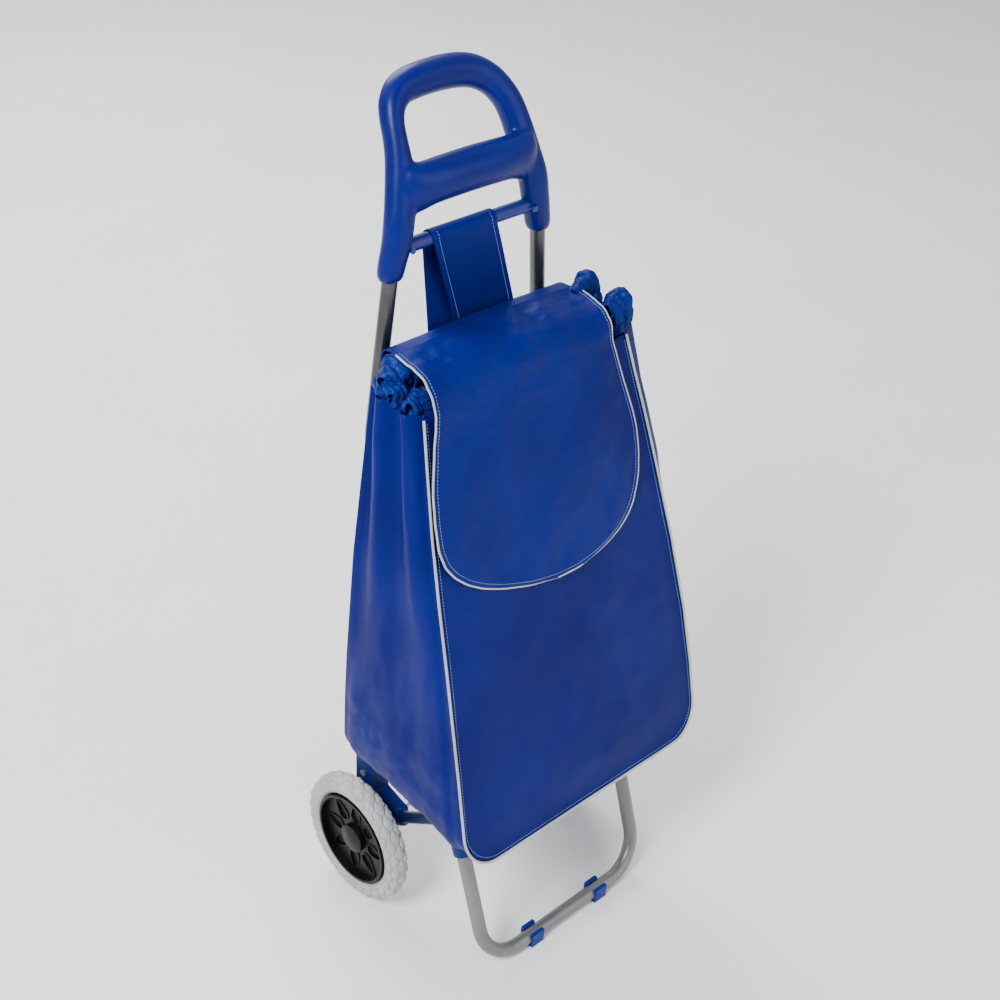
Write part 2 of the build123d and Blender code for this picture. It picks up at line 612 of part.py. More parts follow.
def bracket_rivet_places():
    """On the outer face of each bracket: one through the upright and one through the arm."""
    places = []
    arm_depth = ARM_SOCKET_DEPTH / 2
    for side in SIDES.values():
        tube = upright_centre(side, BRACKET_TOP_Z - 36.0)
        held = arm_plane(side)
        on_arm = held.origin + held.z_dir * arm_depth
        out = (side, 0, 0)
        places.append(Plane(origin=(side * BRACKET_OUTER_X, tube.Y, tube.Z), z_dir=out))
        places.append(Plane(origin=(side * (ARM_X + ARM_RADIUS + ARM_SOCKET_WALL), on_arm.Y,
                                    on_arm.Z), z_dir=out))
    return places


def elbow_rivet_places():
    """On the outer side of each elbow, through the stand's leg."""
    places = []
    for side in SIDES.values():
        leg = leg_plane(side)
        held = leg.origin + leg.z_dir * 20.0
        out_x = side * (FOOT_X + TUBE_RADIUS + ELBOW_WALL)
        places.append(Plane(origin=(out_x, held.Y, held.Z), z_dir=(side, 0, 0)))
    return places


# ---- bag ----------------------------------------------------------------------------------
def bag_section(z, inset):
    """The bag's rounded four-sided section at height z, drawn in by inset."""
    share = (z - BAG_BOTTOM_Z) / BAG_HEIGHT
    bottom_back_y = upright_centre(1, BAG_BOTTOM_Z).Y - TUBE_RADIUS - BAG_BACK_GAP
    back_half = BAG_BOTTOM_BACK_HALF + share * (BAG_TOP_BACK_HALF - BAG_BOTTOM_BACK_HALF) - inset
    front_half = BAG_BOTTOM_FRONT_HALF + share * (BAG_TOP_FRONT_HALF - BAG_BOTTOM_FRONT_HALF) - inset
    back_y = bottom_back_y + share * (BAG_BACK_TOP_Y - bottom_back_y) - inset
    front_y = BAG_FRONT_BOTTOM_Y + share * (BAG_FRONT_TOP_Y - BAG_FRONT_BOTTOM_Y) + inset
    with BuildSketch(Plane.XY.offset(z)) as section:
        with BuildLine():
            Polyline((-back_half, back_y), (back_half, back_y), (front_half, front_y),
                     (-front_half, front_y), close=True)
        make_face()
        fillet(section.vertices(), radius=BAG_CORNER_RADIUS - inset)
    return section.sketch


def bag_body():
    """Wedge-shaped fabric bag, open at the top: back, front, sides and bottom."""
    with BuildPart() as body:
        add(bag_section(BAG_BOTTOM_Z, 0))
        add(bag_section(BAG_TOP_Z, 0))
        loft(ruled=True)
        add(bag_section(BAG_BOTTOM_Z + BAG_WALL, BAG_WALL))
        add(bag_section(BAG_TOP_Z + BAG_WALL, BAG_WALL))
        loft(ruled=True, mode=Mode.SUBTRACT)
    return body.part


def base_board():
    """Stiff board that lies in the bottom of the bag."""
    with BuildPart() as body:
        add(bag_section(BAG_BOTTOM_Z + BAG_WALL, BAG_WALL + BOARD_CLEARANCE))
        extrude(amount=BOARD_THICKNESS)
    return body.part


def collar():
    """Gathered collar round the mouth, with its folds bunched at both sides."""
    lump_x = FLAP_FRONT_HALF + LUMP_RADIUS - 1.0
    with BuildPart() as body:
        add(bag_section(BAG_TOP_Z, -COLLAR_OVERHANG))
        add(bag_section(COLLAR_TOP_Z, -COLLAR_OVERHANG / 2))
        loft(ruled=True)
        for side in SIDES.values():
            for ahead in LUMP_PLACES:
                with Locations((side * lump_x, AXLE_Y - ahead, COLLAR_TOP_Z)):
                    Sphere(LUMP_RADIUS)
        add(bag_section(BAG_TOP_Z - 1.0, COLLAR_THICKNESS))
        add(bag_section(COLLAR_TOP_Z + LUMP_RADIUS, COLLAR_THICKNESS))
        loft(ruled=True, mode=Mode.SUBTRACT)
    return body.part


def back_yoke():
    """Fabric strip up the outside of the collar's back and forward to the flap's seam."""
    thickness = FLAP_THICKNESS
    front, rear = YOKE_Y, YOKE_Y + thickness
    bottom = BAG_TOP_Z - YOKE_BELOW_BAG_TOP
    top = FLAP_Z - FLAP_THICKNESS / 2 - LAYER_GAP
    with BuildPart() as body:
        with BuildSketch(across(0)):
            with BuildLine():
                Polyline((front, bottom), (front, top - thickness), (FLAP_HINGE_Y, top - thickness),
                         (FLAP_HINGE_Y, top), (rear, top), (rear, bottom), close=True)
            make_face()
        extrude(amount=FLAP_REAR_HALF - 2.0, both=True)
    return body.part


def flap_top():
    """Rear part of the cover flap, level over the mouth, from its seam to the fold."""
    with BuildPart() as body:
        with BuildSketch(Plane.XY.offset(FLAP_Z)):
            with BuildLine():
                Polyline((-FLAP_REAR_HALF, FLAP_HINGE_Y), (FLAP_REAR_HALF, FLAP_HINGE_Y),
                         (FLAP_FRONT_HALF, FLAP_BEND_Y + FLAP_GAP),
                         (-FLAP_FRONT_HALF, FLAP_BEND_Y + FLAP_GAP), close=True)
            make_face()
        extrude(amount=FLAP_THICKNESS / 2, both=True)
    return body.part


def flap_front():
    """Hanging part of the flap, parallel to the bag's front, with a rounded lower edge."""
    down = Vector(0, -BAG_SLOPE, -1).normalized()
    sheet = Plane(origin=(0, FLAP_BEND_Y, FLAP_Z), x_dir=(1, 0, 0),
                  z_dir=Vector(1, 0, 0).cross(down))
    with BuildPart() as body:
        with BuildSketch(sheet):
            with BuildLine():
                Polyline((-FLAP_FRONT_HALF, FLAP_GAP), (FLAP_FRONT_HALF, FLAP_GAP),
                         (FLAP_WIDEST_HALF, FLAP_WIDEST_DOWN), (FLAP_LOWER_HALF, FLAP_DROP),
                         (-FLAP_LOWER_HALF, FLAP_DROP), (-FLAP_WIDEST_HALF, FLAP_WIDEST_DOWN),
                         close=True)
            outline = make_face()
            lower = outline.vertices().group_by(Axis.Y)[-1]
            fillet(lower, radius=FLAP_CORNER_RADIUS)
        extrude(amount=FLAP_THICKNESS / 2, both=True)
    return body.part


def strap_layer(facing, low_y, low_edges):
    """One layer of the hanging strap and its quarter turn over the crossbar.

    facing is -1 for the front layer and +1 for the rear one."""
    inner = CROSSBAR_RADIUS + STRAP_CLEARANCE
    outer = inner + STRAP_THICKNESS
    middle_y = TUBE_TOP_Y
    with BuildPart() as layer:
        with BuildSketch(across(STRAP_FRONT_EDGES[1])):
            with BuildLine():
                CenterArc((middle_y, CROSSBAR_Z), outer, 90, -90 * facing)
                CenterArc((middle_y, CROSSBAR_Z), inner, 90, -90 * facing)
                Line((middle_y, CROSSBAR_Z + inner), (middle_y, CROSSBAR_Z + outer))
                Polyline((middle_y + facing * inner, CROSSBAR_Z),
                         (low_y - facing * STRAP_THICKNESS / 2, STRAP_LOW_Z),
                         (low_y + facing * STRAP_THICKNESS / 2, STRAP_LOW_Z),
                         (middle_y + facing * outer, CROSSBAR_Z))
            make_face()
        extrude(amount=STRAP_REAR_EDGES[0] - STRAP_FRONT_EDGES[1])
        with BuildSketch(Plane.XZ):
            with BuildLine():
                Polyline((STRAP_TOP_EDGES[0], CROSSBAR_Z + 2 * outer),
                         (STRAP_TOP_EDGES[1], CROSSBAR_Z + 2 * outer),
                         (STRAP_TOP_EDGES[1], CROSSBAR_Z), (low_edges[1], STRAP_LOW_Z),
                         (low_edges[0], STRAP_LOW_Z), (STRAP_TOP_EDGES[0], CROSSBAR_Z), close=True)
            make_face()
        extrude(amount=middle_y + 2 * outer, both=True, mode=Mode.INTERSECT)
    return layer.part


def hanging_strap():
    """Fabric loop over the crossbar; its two layers spread sideways on the way down."""
    front = strap_layer(-1, STRAP_LOW_Y, STRAP_FRONT_EDGES)
    rear = strap_layer(1, STRAP_LOW_Y + STRAP_THICKNESS + LAYER_GAP, STRAP_REAR_EDGES)
    with BuildPart() as body:
        add(front)
        add(rear)
    return body.part


if __name__ == "__main__":
    os.makedirs("parts", exist_ok=True)
    crossbar_ends = crossbar_screw_places()
    sockets = handle_screw_places()
    bracket_sides = bracket_rivet_places()
    elbow_sides = elbow_rivet_places()
    for name, side in SIDES.items():
        save(tyre(side), f"tyre_{name}")
        save(hub(side), f"hub_{name}")
        save(hub_cap(side), f"hub_cap_{name}")
        tube = drilled(upright(side), bracket_sides, RIVET)
        save(drilled(tube, sockets, SCREW), f"upright_tube_{name}")
        save(drilled(bracket(side), bracket_sides, RIVET), f"corner_bracket_{name}")
        save(drilled(arm(side), bracket_sides, RIVET), f"support_arm_{name}")
        save(drilled(elbow(side), elbow_sides, RIVET), f"stand_elbow_{name}")
        save(foot_clip(side), f"foot_clip_{name}")
    save(axle(), "axle")
    save(rings_on_axle(BRACKET_OUTER_X, WASHER_THICKNESS, WASHER_RADIUS), "inner_washers")
    save(rings_on_axle(OUTER_WASHER_X, WASHER_THICKNESS, WASHER_RADIUS), "outer_washers")
    save(rings_on_axle(PUSH_NUT_X, PUSH_NUT_THICKNESS, PUSH_NUT_RADIUS), "push_nuts")
    save(drilled(foot_tube(), elbow_sides, RIVET), "foot_tube")
    save(drilled(crossbar(), crossbar_ends, SCREW), "crossbar")
    save(rear_brace(), "rear_brace")
    save(drilled(drilled(handle(), crossbar_ends, SCREW), sockets, SCREW), "handle")
    save(pins(crossbar_ends, SCREW), "crossbar_screws")
    save(pins(sockets, SCREW), "handle_screws")
    save(pins(bracket_sides, RIVET), "bracket_rivets")
    save(pins(elbow_sides, RIVET), "elbow_rivets")
    save(bag_body(), "bag_body")
    save(base_board(), "base_board")
    save(collar(), "collar")
    save(back_yoke(), "back_yoke")
    save(hanging_strap(), "hanging_strap")
    save(flap_top(), "flap_top")
    save(flap_front(), "flap_front")
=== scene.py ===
import json
import math

import bpy
import numpy as np
from mathutils import Matrix, Vector, noise


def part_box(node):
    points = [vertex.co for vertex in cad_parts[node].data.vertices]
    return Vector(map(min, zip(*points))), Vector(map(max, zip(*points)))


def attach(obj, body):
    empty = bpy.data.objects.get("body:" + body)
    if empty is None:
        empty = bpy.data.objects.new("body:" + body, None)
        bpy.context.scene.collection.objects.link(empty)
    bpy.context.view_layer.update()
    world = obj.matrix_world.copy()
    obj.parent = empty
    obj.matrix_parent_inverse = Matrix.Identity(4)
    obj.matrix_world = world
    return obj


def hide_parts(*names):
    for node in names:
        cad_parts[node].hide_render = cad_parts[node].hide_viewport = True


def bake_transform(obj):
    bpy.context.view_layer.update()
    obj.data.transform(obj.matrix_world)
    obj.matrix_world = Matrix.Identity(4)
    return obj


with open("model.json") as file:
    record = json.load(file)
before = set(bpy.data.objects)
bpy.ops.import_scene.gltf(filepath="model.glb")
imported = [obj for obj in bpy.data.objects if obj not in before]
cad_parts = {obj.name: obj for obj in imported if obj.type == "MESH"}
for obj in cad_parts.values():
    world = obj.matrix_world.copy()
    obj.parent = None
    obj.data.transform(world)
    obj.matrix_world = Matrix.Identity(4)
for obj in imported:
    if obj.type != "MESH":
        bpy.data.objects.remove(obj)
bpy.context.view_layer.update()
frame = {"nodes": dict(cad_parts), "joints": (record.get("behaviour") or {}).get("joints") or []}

MM = 0.001
TAU = 2 * math.pi
FRAME = "frame"

# ---- places, from the CAD nodes -----------------------------------------------------------
bag_low, bag_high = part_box("bag_body")
bar_low, bar_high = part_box("crossbar")
handle_low, handle_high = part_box("handle")
joints = {joint["name"]: Vector(joint.get("pos_m") or (0, 0, 0)) for joint in frame["joints"]}
_, AXLE_Y, AXLE_Z = joints["wheel_left_spin"]
HINGE = joints["flap_lift"]
FOLD = joints["flap_fold"]
BAR_Y = (bar_low.y + bar_high.y) / 2
BAR_Z = (bar_low.z + bar_high.z) / 2
BAR_RADIUS = (bar_high.z - bar_low.z) / 2
_, BAG_FRONT, BAG_BOTTOM = bag_low
_, BAG_BACK, BAG_TOP = bag_high
FRONT_SLOPE = 0.2955                    # how far the front leans back, per metre of height


# ---- mesh helpers -------------------------------------------------------------------------
def mesh_object(name, points, faces):
    """A new smooth-shaded object from points in metres."""
    mesh = bpy.data.meshes.new(name)
    mesh.from_pydata([tuple(p) for p in points], [], faces)
    mesh.update()
    mesh.shade_smooth()
    obj = bpy.data.objects.new(name, mesh)
    bpy.context.scene.collection.objects.link(obj)
    return obj


def grid_faces(rows, columns, wrap_rows=False, wrap_columns=False, first=0):
    """Quads over a grid of points stored row by row."""
    faces = []
    for i in range(rows if wrap_rows else rows - 1):
        for j in range(columns if wrap_columns else columns - 1):
            k, m = (i + 1) % rows, (j + 1) % columns
            faces.append((first + i * columns + j, first + i * columns + m,
                          first + k * columns + m, first + k * columns + j))
    return faces


def grid_object(name, points, wrap_rows=False, wrap_columns=False):
    """A sheet or tube from an array of points of shape (rows, columns, 3)."""
    rows, columns = points.shape[:2]
    faces = grid_faces(rows, columns, wrap_rows, wrap_columns)
    return mesh_object(name, points.reshape(-1, 3), faces)


def modifier(obj, kind, name, **settings):
    added = obj.modifiers.new(name, kind)
    for key, value in settings.items():
        setattr(added, key, value)


def cap_faces(first, sides, rows):
    """The two end faces of a tube whose points start at first."""
    last = first + (rows - 1) * sides
    return [tuple(range(first, first + sides))[::-1], tuple(range(last, last + sides))]


def apply_modifiers(obj):
    """Turn the object's modifiers into its mesh."""
    evaluated = obj.evaluated_get(bpy.context.evaluated_depsgraph_get())
    made = bpy.data.meshes.new_from_object(evaluated)
    obj.modifiers.clear()
    obj.data = made
    made.shade_smooth()


def frames_along(path):
    """Side and normal vectors at each point of an open path."""
    up, result, side = Vector((0, 0, 1)), [], None
    for i in range(len(path)):
        before, after = path[max(0, i - 1)], path[min(len(path) - 1, i + 1)]
        tangent = (Vector(after) - Vector(before)).normalized()
        if side is None:
            start = up if abs(tangent.dot(up)) < 0.95 else Vector((1, 0, 0))
            side = tangent.cross(start).normalized()
        else:
            side = (side - tangent * side.dot(tangent)).normalized()
        result.append((side, tangent.cross(side)))
    return result


def tube(name, path, radius, sides):
    """A round tube along a list of points, with capped ends."""
    points = []
    for point, (side, normal) in zip(path, frames_along(path)):
        for k in range(sides):
            a = TAU * k / sides
            points.append(Vector(point) + radius * (math.cos(a) * side + math.sin(a) * normal))
    faces = grid_faces(len(path), sides, wrap_columns=True) + cap_faces(0, sides, len(path))
    return mesh_object(name, points, faces)


def path_lengths(points):
    """Distance along a polyline at each of its points."""
    return np.r_[0, np.cumsum(np.linalg.norm(np.diff(points, axis=0), axis=1))]


def evened(points, count):
    """A polyline as count points evenly spaced along it."""
    lengths = path_lengths(points)
    at = np.linspace(0, lengths[-1], count)
    return np.stack([np.interp(at, lengths, points[:, k]) for k in range(3)], axis=1)


def resample(path, step):
    """A polyline as points about a step apart."""
    points = np.array([tuple(p) for p in path], float)
    return evened(points, max(2, int(round(path_lengths(points)[-1] / step)) + 1))


STITCH_PITCH, STITCH_LENGTH, THREAD_RADIUS = 3.4 * MM, 2.3 * MM, 0.32 * MM
STITCH_RINGS = ((0, 0.35), (0.12, 1.0), (0.5, 1.25), (0.88, 1.0), (1.0, 0.35))  # place, size


def stitches(name, path, outward):
    """A line of thread stitches lying on a surface: short rounded dashes along the path."""
    knots = resample(path, STITCH_PITCH)
    points, faces = [], []
    sides = 6
    for a, b in zip(knots, knots[1:]):
        start = Vector(a)
        along = (Vector(b) - start).normalized()
        out = Vector(outward(start)).normalized()
        side = along.cross(out).normalized()
        first = len(points)
        for share, size in STITCH_RINGS:
            lift = out * THREAD_RADIUS * (0.9 * math.sin(math.pi * share) - 0.1)
            centre = start + along * (STITCH_LENGTH * share) + lift
            for k in range(sides):
                t = TAU * k / sides
                turn = math.cos(t) * side + math.sin(t) * out
                points.append(centre + THREAD_RADIUS * size * turn)
        faces += grid_faces(len(STITCH_RINGS), sides, wrap_columns=True, first=first)
        faces += cap_faces(first, sides, len(STITCH_RINGS))
    return mesh_object(name, points, faces)


def wave(point, scale, seed, octaves=3):
    """Smooth noise of about -1 to 1; scale is the size of its features in metres."""
    p = Vector(point) / scale + Vector((seed, 1.7 * seed, -seed))
    return noise.fractal(p, 0.9, 2.0, octaves, noise_basis="PERLIN_ORIGINAL")


def smoothed(path, passes):
    """An open polyline with its corners softened; the ends stay."""
    pts = np.array([tuple(p) for p in path], float)
    for _ in range(passes):
        pts[1:-1] = (pts[:-2] + 2 * pts[1:-1] + pts[2:]) / 4
    return pts


def smoothstep(low, high, x):
    t = min(1.0, max(0.0, (x - low) / (high - low)))
    return t * t * (3 - 2 * t)


# ---- materials ----------------------------------------------------------------------------
def new_material(name, **settings):
    """A Principled material; settings are socket names with _ for spaces."""
    material = bpy.data.materials.new(name)
    material.use_nodes = True
    shader = material.node_tree.nodes["Principled BSDF"]
    for key, value in settings.items():
        shader.inputs[key.replace("_", " ")].default_value = value
    return material, material.node_tree, shader


def node(tree, kind, inputs=(), **properties):
    """Add a node; inputs are (socket name or index, value or output socket) pairs."""
    made = tree.nodes.new(kind)
    for key, value in properties.items():
        setattr(made, key, value)
    for key, value in inputs:
        if isinstance(value, bpy.types.NodeSocket):
            tree.links.new(value, made.inputs[key])
        else:
            made.inputs[key].default_value = value
    return made


def maths(tree, operation, a, b=0.0):
    return node(tree, "ShaderNodeMath", ((0, a), (1, b)), operation=operation).outputs[0]


def noise_of(tree, place, scale, detail=3.0):
    made = node(tree, "ShaderNodeTexNoise",
                (("Vector", place), ("Scale", scale), ("Detail", detail), ("Roughness", 0.55)))
    return made.outputs["Fac"]


def ramp(tree, fac, stops):
    made = node(tree, "ShaderNodeValToRGB", (("Fac", fac),))
    elements = made.color_ramp.elements
    while len(elements) < len(stops):
        elements.new(0.5)
    for element, (position, color) in zip(elements, stops):
        element.position = position
        element.color = (*color, 1)
    return made.outputs["Color"]


def spread(tree, fac, low, high):
    """Map a noise's usual range, 0.3 to 0.7, to low..high."""
    made = node(tree, "ShaderNodeMapRange",
                (("Value", fac), ("From Min", 0.3), ("From Max", 0.7), ("To Min", low),
                 ("To Max", high)))
    return made.outputs["Result"]


def object_place(tree):
    return node(tree, "ShaderNodeTexCoord").outputs["Object"]


def bump(tree, shader, height, distance, strength, below=None):
    """Relief on the shader, on top of another relief if one is given."""
    made = node(tree, "ShaderNodeBump",
                (("Height", height), ("Distance", distance), ("Strength", strength)))
    if below is not None:
        tree.links.new(below, made.inputs["Normal"])
    tree.links.new(made.outputs["Normal"], shader.inputs["Normal"])
    return made.outputs["Normal"]


def weave_height(tree, place, pitch):
    """Height of a plain weave whose threads run up and across whatever way the cloth faces."""
    axes = node(tree, "ShaderNodeSeparateXYZ", ((0, place),))
    x, y, z = axes.outputs
    across = maths(tree, "ADD", x, maths(tree, "MULTIPLY", y, 0.83))
    up = maths(tree, "ADD", z, maths(tree, "MULTIPLY", y, 0.41))
    turns = TAU / pitch
    warp = maths(tree, "SINE", maths(tree, "MULTIPLY", across, turns))
    weft = maths(tree, "SINE", maths(tree, "MULTIPLY", up, turns))
    return maths(tree, "MULTIPLY", warp, weft)


THREAD_PITCH = 1.5 * MM


def fabric(name, deep, light, gloss=0.42, creases=0.5):
    """Coated woven cloth: colour drift, patchy gloss, thread relief and soft creases."""
    material, tree, shader = new_material(name, IOR=1.45, Sheen_Weight=0.01,
                                          Sheen_Roughness=0.4, Specular_IOR_Level=0.12)
    shader.inputs["Sheen Tint"].default_value = (0.1, 0.25, 1.0, 1)
    place = object_place(tree)
    broad = noise_of(tree, place, 7.0, 4.0)
    fine = noise_of(tree, place, 260.0, 2.0)
    mixed = maths(tree, "ADD", maths(tree, "MULTIPLY", broad, 0.8),
                  maths(tree, "MULTIPLY", fine, 0.2))
    tree.links.new(ramp(tree, mixed, ((0.36, deep), (0.66, light))), shader.inputs["Base Color"])
    tree.links.new(spread(tree, broad, gloss + 0.07, gloss - 0.05), shader.inputs["Roughness"])
    soft = bump(tree, shader, noise_of(tree, place, 26.0, 4.0), 1.6 * MM, creases)
    weave = weave_height(tree, place, THREAD_PITCH)
    bump(tree, shader, maths(tree, "ADD", weave, fine), 0.11 * MM, 0.8, below=soft)
    return material


def moulded(name, deep, light, roughness, grain=900.0, relief=0.05 * MM):
    """Moulded plastic: fine grain, slight gloss variation and scuffed colour."""
    material, tree, shader = new_material(name, IOR=1.48, Specular_IOR_Level=0.2)
    place = object_place(tree)
    broad = noise_of(tree, place, 14.0, 5.0)
    tree.links.new(ramp(tree, broad, ((0.3, deep), (0.72, light))), shader.inputs["Base Color"])
    tree.links.new(spread(tree, noise_of(tree, place, 55.0, 4.0), roughness - 0.05,
                          roughness + 0.09), shader.inputs["Roughness"])
    pebbles = node(tree, "ShaderNodeTexVoronoi", (("Vector", place), ("Scale", grain)))
    waves = bump(tree, shader, noise_of(tree, place, 60.0, 2.0), 0.25 * MM, 0.5)
    bump(tree, shader, pebbles.outputs["Distance"], relief, 0.8, below=waves)
    return material


def painted(name, deep, light, roughness, metallic):
    """Painted or lacquered tube: fine flake and dull patches."""
    material, tree, shader = new_material(name, Metallic=metallic, Coat_Weight=0.1,
                                          Coat_Roughness=0.16)
    place = object_place(tree)
    broad = noise_of(tree, place, 18.0, 5.0)
    sparkle = noise_of(tree, place, 2600.0, 1.0)
    mixed = maths(tree, "ADD", maths(tree, "MULTIPLY", broad, 0.7),
                  maths(tree, "MULTIPLY", sparkle, 0.3))
    tree.links.new(ramp(tree, mixed, ((0.34, deep), (0.66, light))), shader.inputs["Base Color"])
    tree.links.new(spread(tree, broad, roughness - 0.06, roughness + 0.08),
                   shader.inputs["Roughness"])
    bump(tree, shader, sparkle, 0.03 * MM, 0.5)
    return material


def bright_steel(name):
    """Zinc-plated steel with small dull spots."""
    material, tree, shader = new_material(name, Metallic=1.0)
    place = object_place(tree)
    spots = noise_of(tree, place, 420.0, 4.0)
    tree.links.new(ramp(tree, spots, ((0.3, (0.42, 0.43, 0.44)), (0.7, (0.68, 0.69, 0.7)))),
                   shader.inputs["Base Color"])
    tree.links.new(spread(tree, spots, 0.38, 0.24), shader.inputs["Roughness"])
    bump(tree, shader, spots, 0.05 * MM, 0.6)
    return material


def foam(name):
    """Moulded foam: closed cells, shallow dents and faint grey patches."""
    material, tree, shader = new_material(name, IOR=1.4, Subsurface_Weight=0.12)
    shader.inputs["Subsurface Radius"].default_value = (0.004, 0.004, 0.004)
    shader.inputs["Subsurface Scale"].default_value = 1.0
    place = object_place(tree)
    broad = noise_of(tree, place, 35.0, 4.0)
    tree.links.new(ramp(tree, broad, ((0.25, (0.30, 0.30, 0.31)), (0.75, (0.42, 0.42, 0.43)))),
                   shader.inputs["Base Color"])
    tree.links.new(spread(tree, broad, 0.5, 0.38), shader.inputs["Roughness"])
    cells = node(tree, "ShaderNodeTexVoronoi", (("Vector", place), ("Scale", 700.0)))
    dents = bump(tree, shader, noise_of(tree, place, 120.0, 3.0), 0.3 * MM, 0.6)
    bump(tree, shader, cells.outputs["Distance"], 0.08 * MM, 0.7, below=dents)
    return material


MATERIALS = {
    "bag_cloth": fabric("bag_cloth", (0.0, 0.002, 0.095), (0.0, 0.005, 0.145)),
    "flap_cloth": fabric("flap_cloth", (0.0, 0.003, 0.10), (0.0, 0.009, 0.175), gloss=0.36,
                         creases=0.7),
    "collar_cloth": fabric("collar_cloth", (0.0, 0.005, 0.09), (0.001, 0.018, 0.20),
                           gloss=0.30, creases=1.0),
    "strap_cloth": fabric("strap_cloth", (0.0, 0.004, 0.115), (0.0, 0.008, 0.165), creases=0.3),
    "piping": moulded("piping", (0.36, 0.36, 0.34), (0.50, 0.50, 0.47), 0.42, grain=500.0),
    "thread": moulded("thread", (0.10, 0.16, 0.45), (0.20, 0.28, 0.60), 0.6, grain=2500.0),
    "handle_plastic": moulded("handle_plastic", (0.0, 0.003, 0.11), (0.0, 0.006, 0.145), 0.34,
                              relief=0.04 * MM),
    "bracket_plastic": moulded("bracket_plastic", (0.0, 0.006, 0.09), (0.0, 0.010, 0.14), 0.4),
    "clip_plastic": moulded("clip_plastic", (0.0, 0.012, 0.17), (0.001, 0.020, 0.24), 0.42,
                            relief=0.12 * MM),
    "hub_plastic": moulded("hub_plastic", (0.002, 0.002, 0.002), (0.006, 0.006, 0.0065), 0.4,
                           relief=0.06 * MM),
    "board": moulded("board", (0.03, 0.03, 0.035), (0.06, 0.06, 0.065), 0.6),
    "upright_metal": painted("upright_metal", (0.045, 0.045, 0.046), (0.11, 0.11, 0.112), 0.27,
                             0.9),
    "stand_metal": painted("stand_metal", (0.15, 0.15, 0.152), (0.22, 0.22, 0.222), 0.38, 0.6),
    "blue_paint": painted("blue_paint", (0.0, 0.009, 0.12), (0.001, 0.016, 0.19), 0.34, 0.1),
    # darker copy of blue_paint: painted shade for the support arms, which sit in shadow under the
    # bag
    "blue_paint_shade_darkened": painted("blue_paint_shade_darkened", (0.0, 0.003, 0.035), (0.0, 0.006, 0.06), 0.4, 0.1),
    "bright_steel": bright_steel("bright_steel"),
    "foam_tyre": foam("foam_tyre"),
}


def dress(obj, material):
    """Give an object one material on every face."""
    obj.data.materials.clear()
    obj.data.materials.append(MATERIALS[material])
    return obj


def on_frame(obj, material):
    """Give the looks and let the piece follow the frame."""
    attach(dress(obj, material), FRAME)
    return obj


def cloth(name, rows, material, thickness, offset=0, wrap_columns=False):
    """A thickened piece of the bag's cloth from a grid of points, fixed to the frame."""
    obj = grid_object(name, rows, wrap_columns=wrap_columns)
    modifier(obj, "SOLIDIFY", "thickness", thickness=thickness, offset=offset)
    return on_frame(obj, material)


# ---- handle -------------------------------------------------------------------------------
def smooth_path(keys, count):
    """Points and sizes through key rows of numbers, as a Catmull-Rom curve."""
    rows = np.array(keys, float)
    padded = np.vstack([2 * rows[0] - rows[1], rows, 2 * rows[-1] - rows[-2]])
    out = []
    for t in np.linspace(0, len(rows) - 1, count):
        i = min(int(t), len(rows) - 2)
        f = t - i
        p0, p1, p2, p3 = padded[i:i + 4]
        out.append(0.5 * (2 * p1 + (p2 - p0) * f + (2 * p0 - 5 * p1 + 4 * p2 - p3) * f**2
                          + (3 * p1 - p0 - 3 * p2 + p3) * f**3))
    return np.array(out)


def swept_body(name, keys, count, power):
    """Closed body along a path seen from the front. Keys: x, z, y from the sockets' middle,
    width across the path and depth, in millimetres; the section is a superellipse."""
    rows = smooth_path(keys, count) * MM
    sides = 32
    path = [Vector((x, BAR_Y + y, z)) for x, z, y, _, _ in rows]
    points = []
    for i, point in enumerate(path):
        before, after = path[max(0, i - 1)], path[min(len(path) - 1, i + 1)]
        along = (after - before).normalized()
        across = along.cross(Vector((0, 1, 0))).normalized()
        deep = along.cross(across).normalized()
        width, depth = rows[i][3] / 2, rows[i][4] / 2
        for k in range(sides):
            c, s = math.cos(TAU * k / sides), math.sin(TAU * k / sides)
            reach = (abs(c) ** power + abs(s) ** power) ** (-1 / power)
            points.append(point + across * (width * reach * c) + deep * (depth * reach * s))
    faces = grid_faces(count, sides, wrap_columns=True) + cap_faces(0, sides, count)
    return mesh_object(name, points, faces)


def join(objects, name):
    """Join meshes into one new object."""
    points, faces = [], []
    for obj in objects:
        first = len(points)
        points += [v.co.copy() for v in obj.data.vertices]
        faces += [tuple(first + i for i in p.vertices) for p in obj.data.polygons]
        bpy.data.objects.remove(obj)
    return mesh_object(name, points, faces)


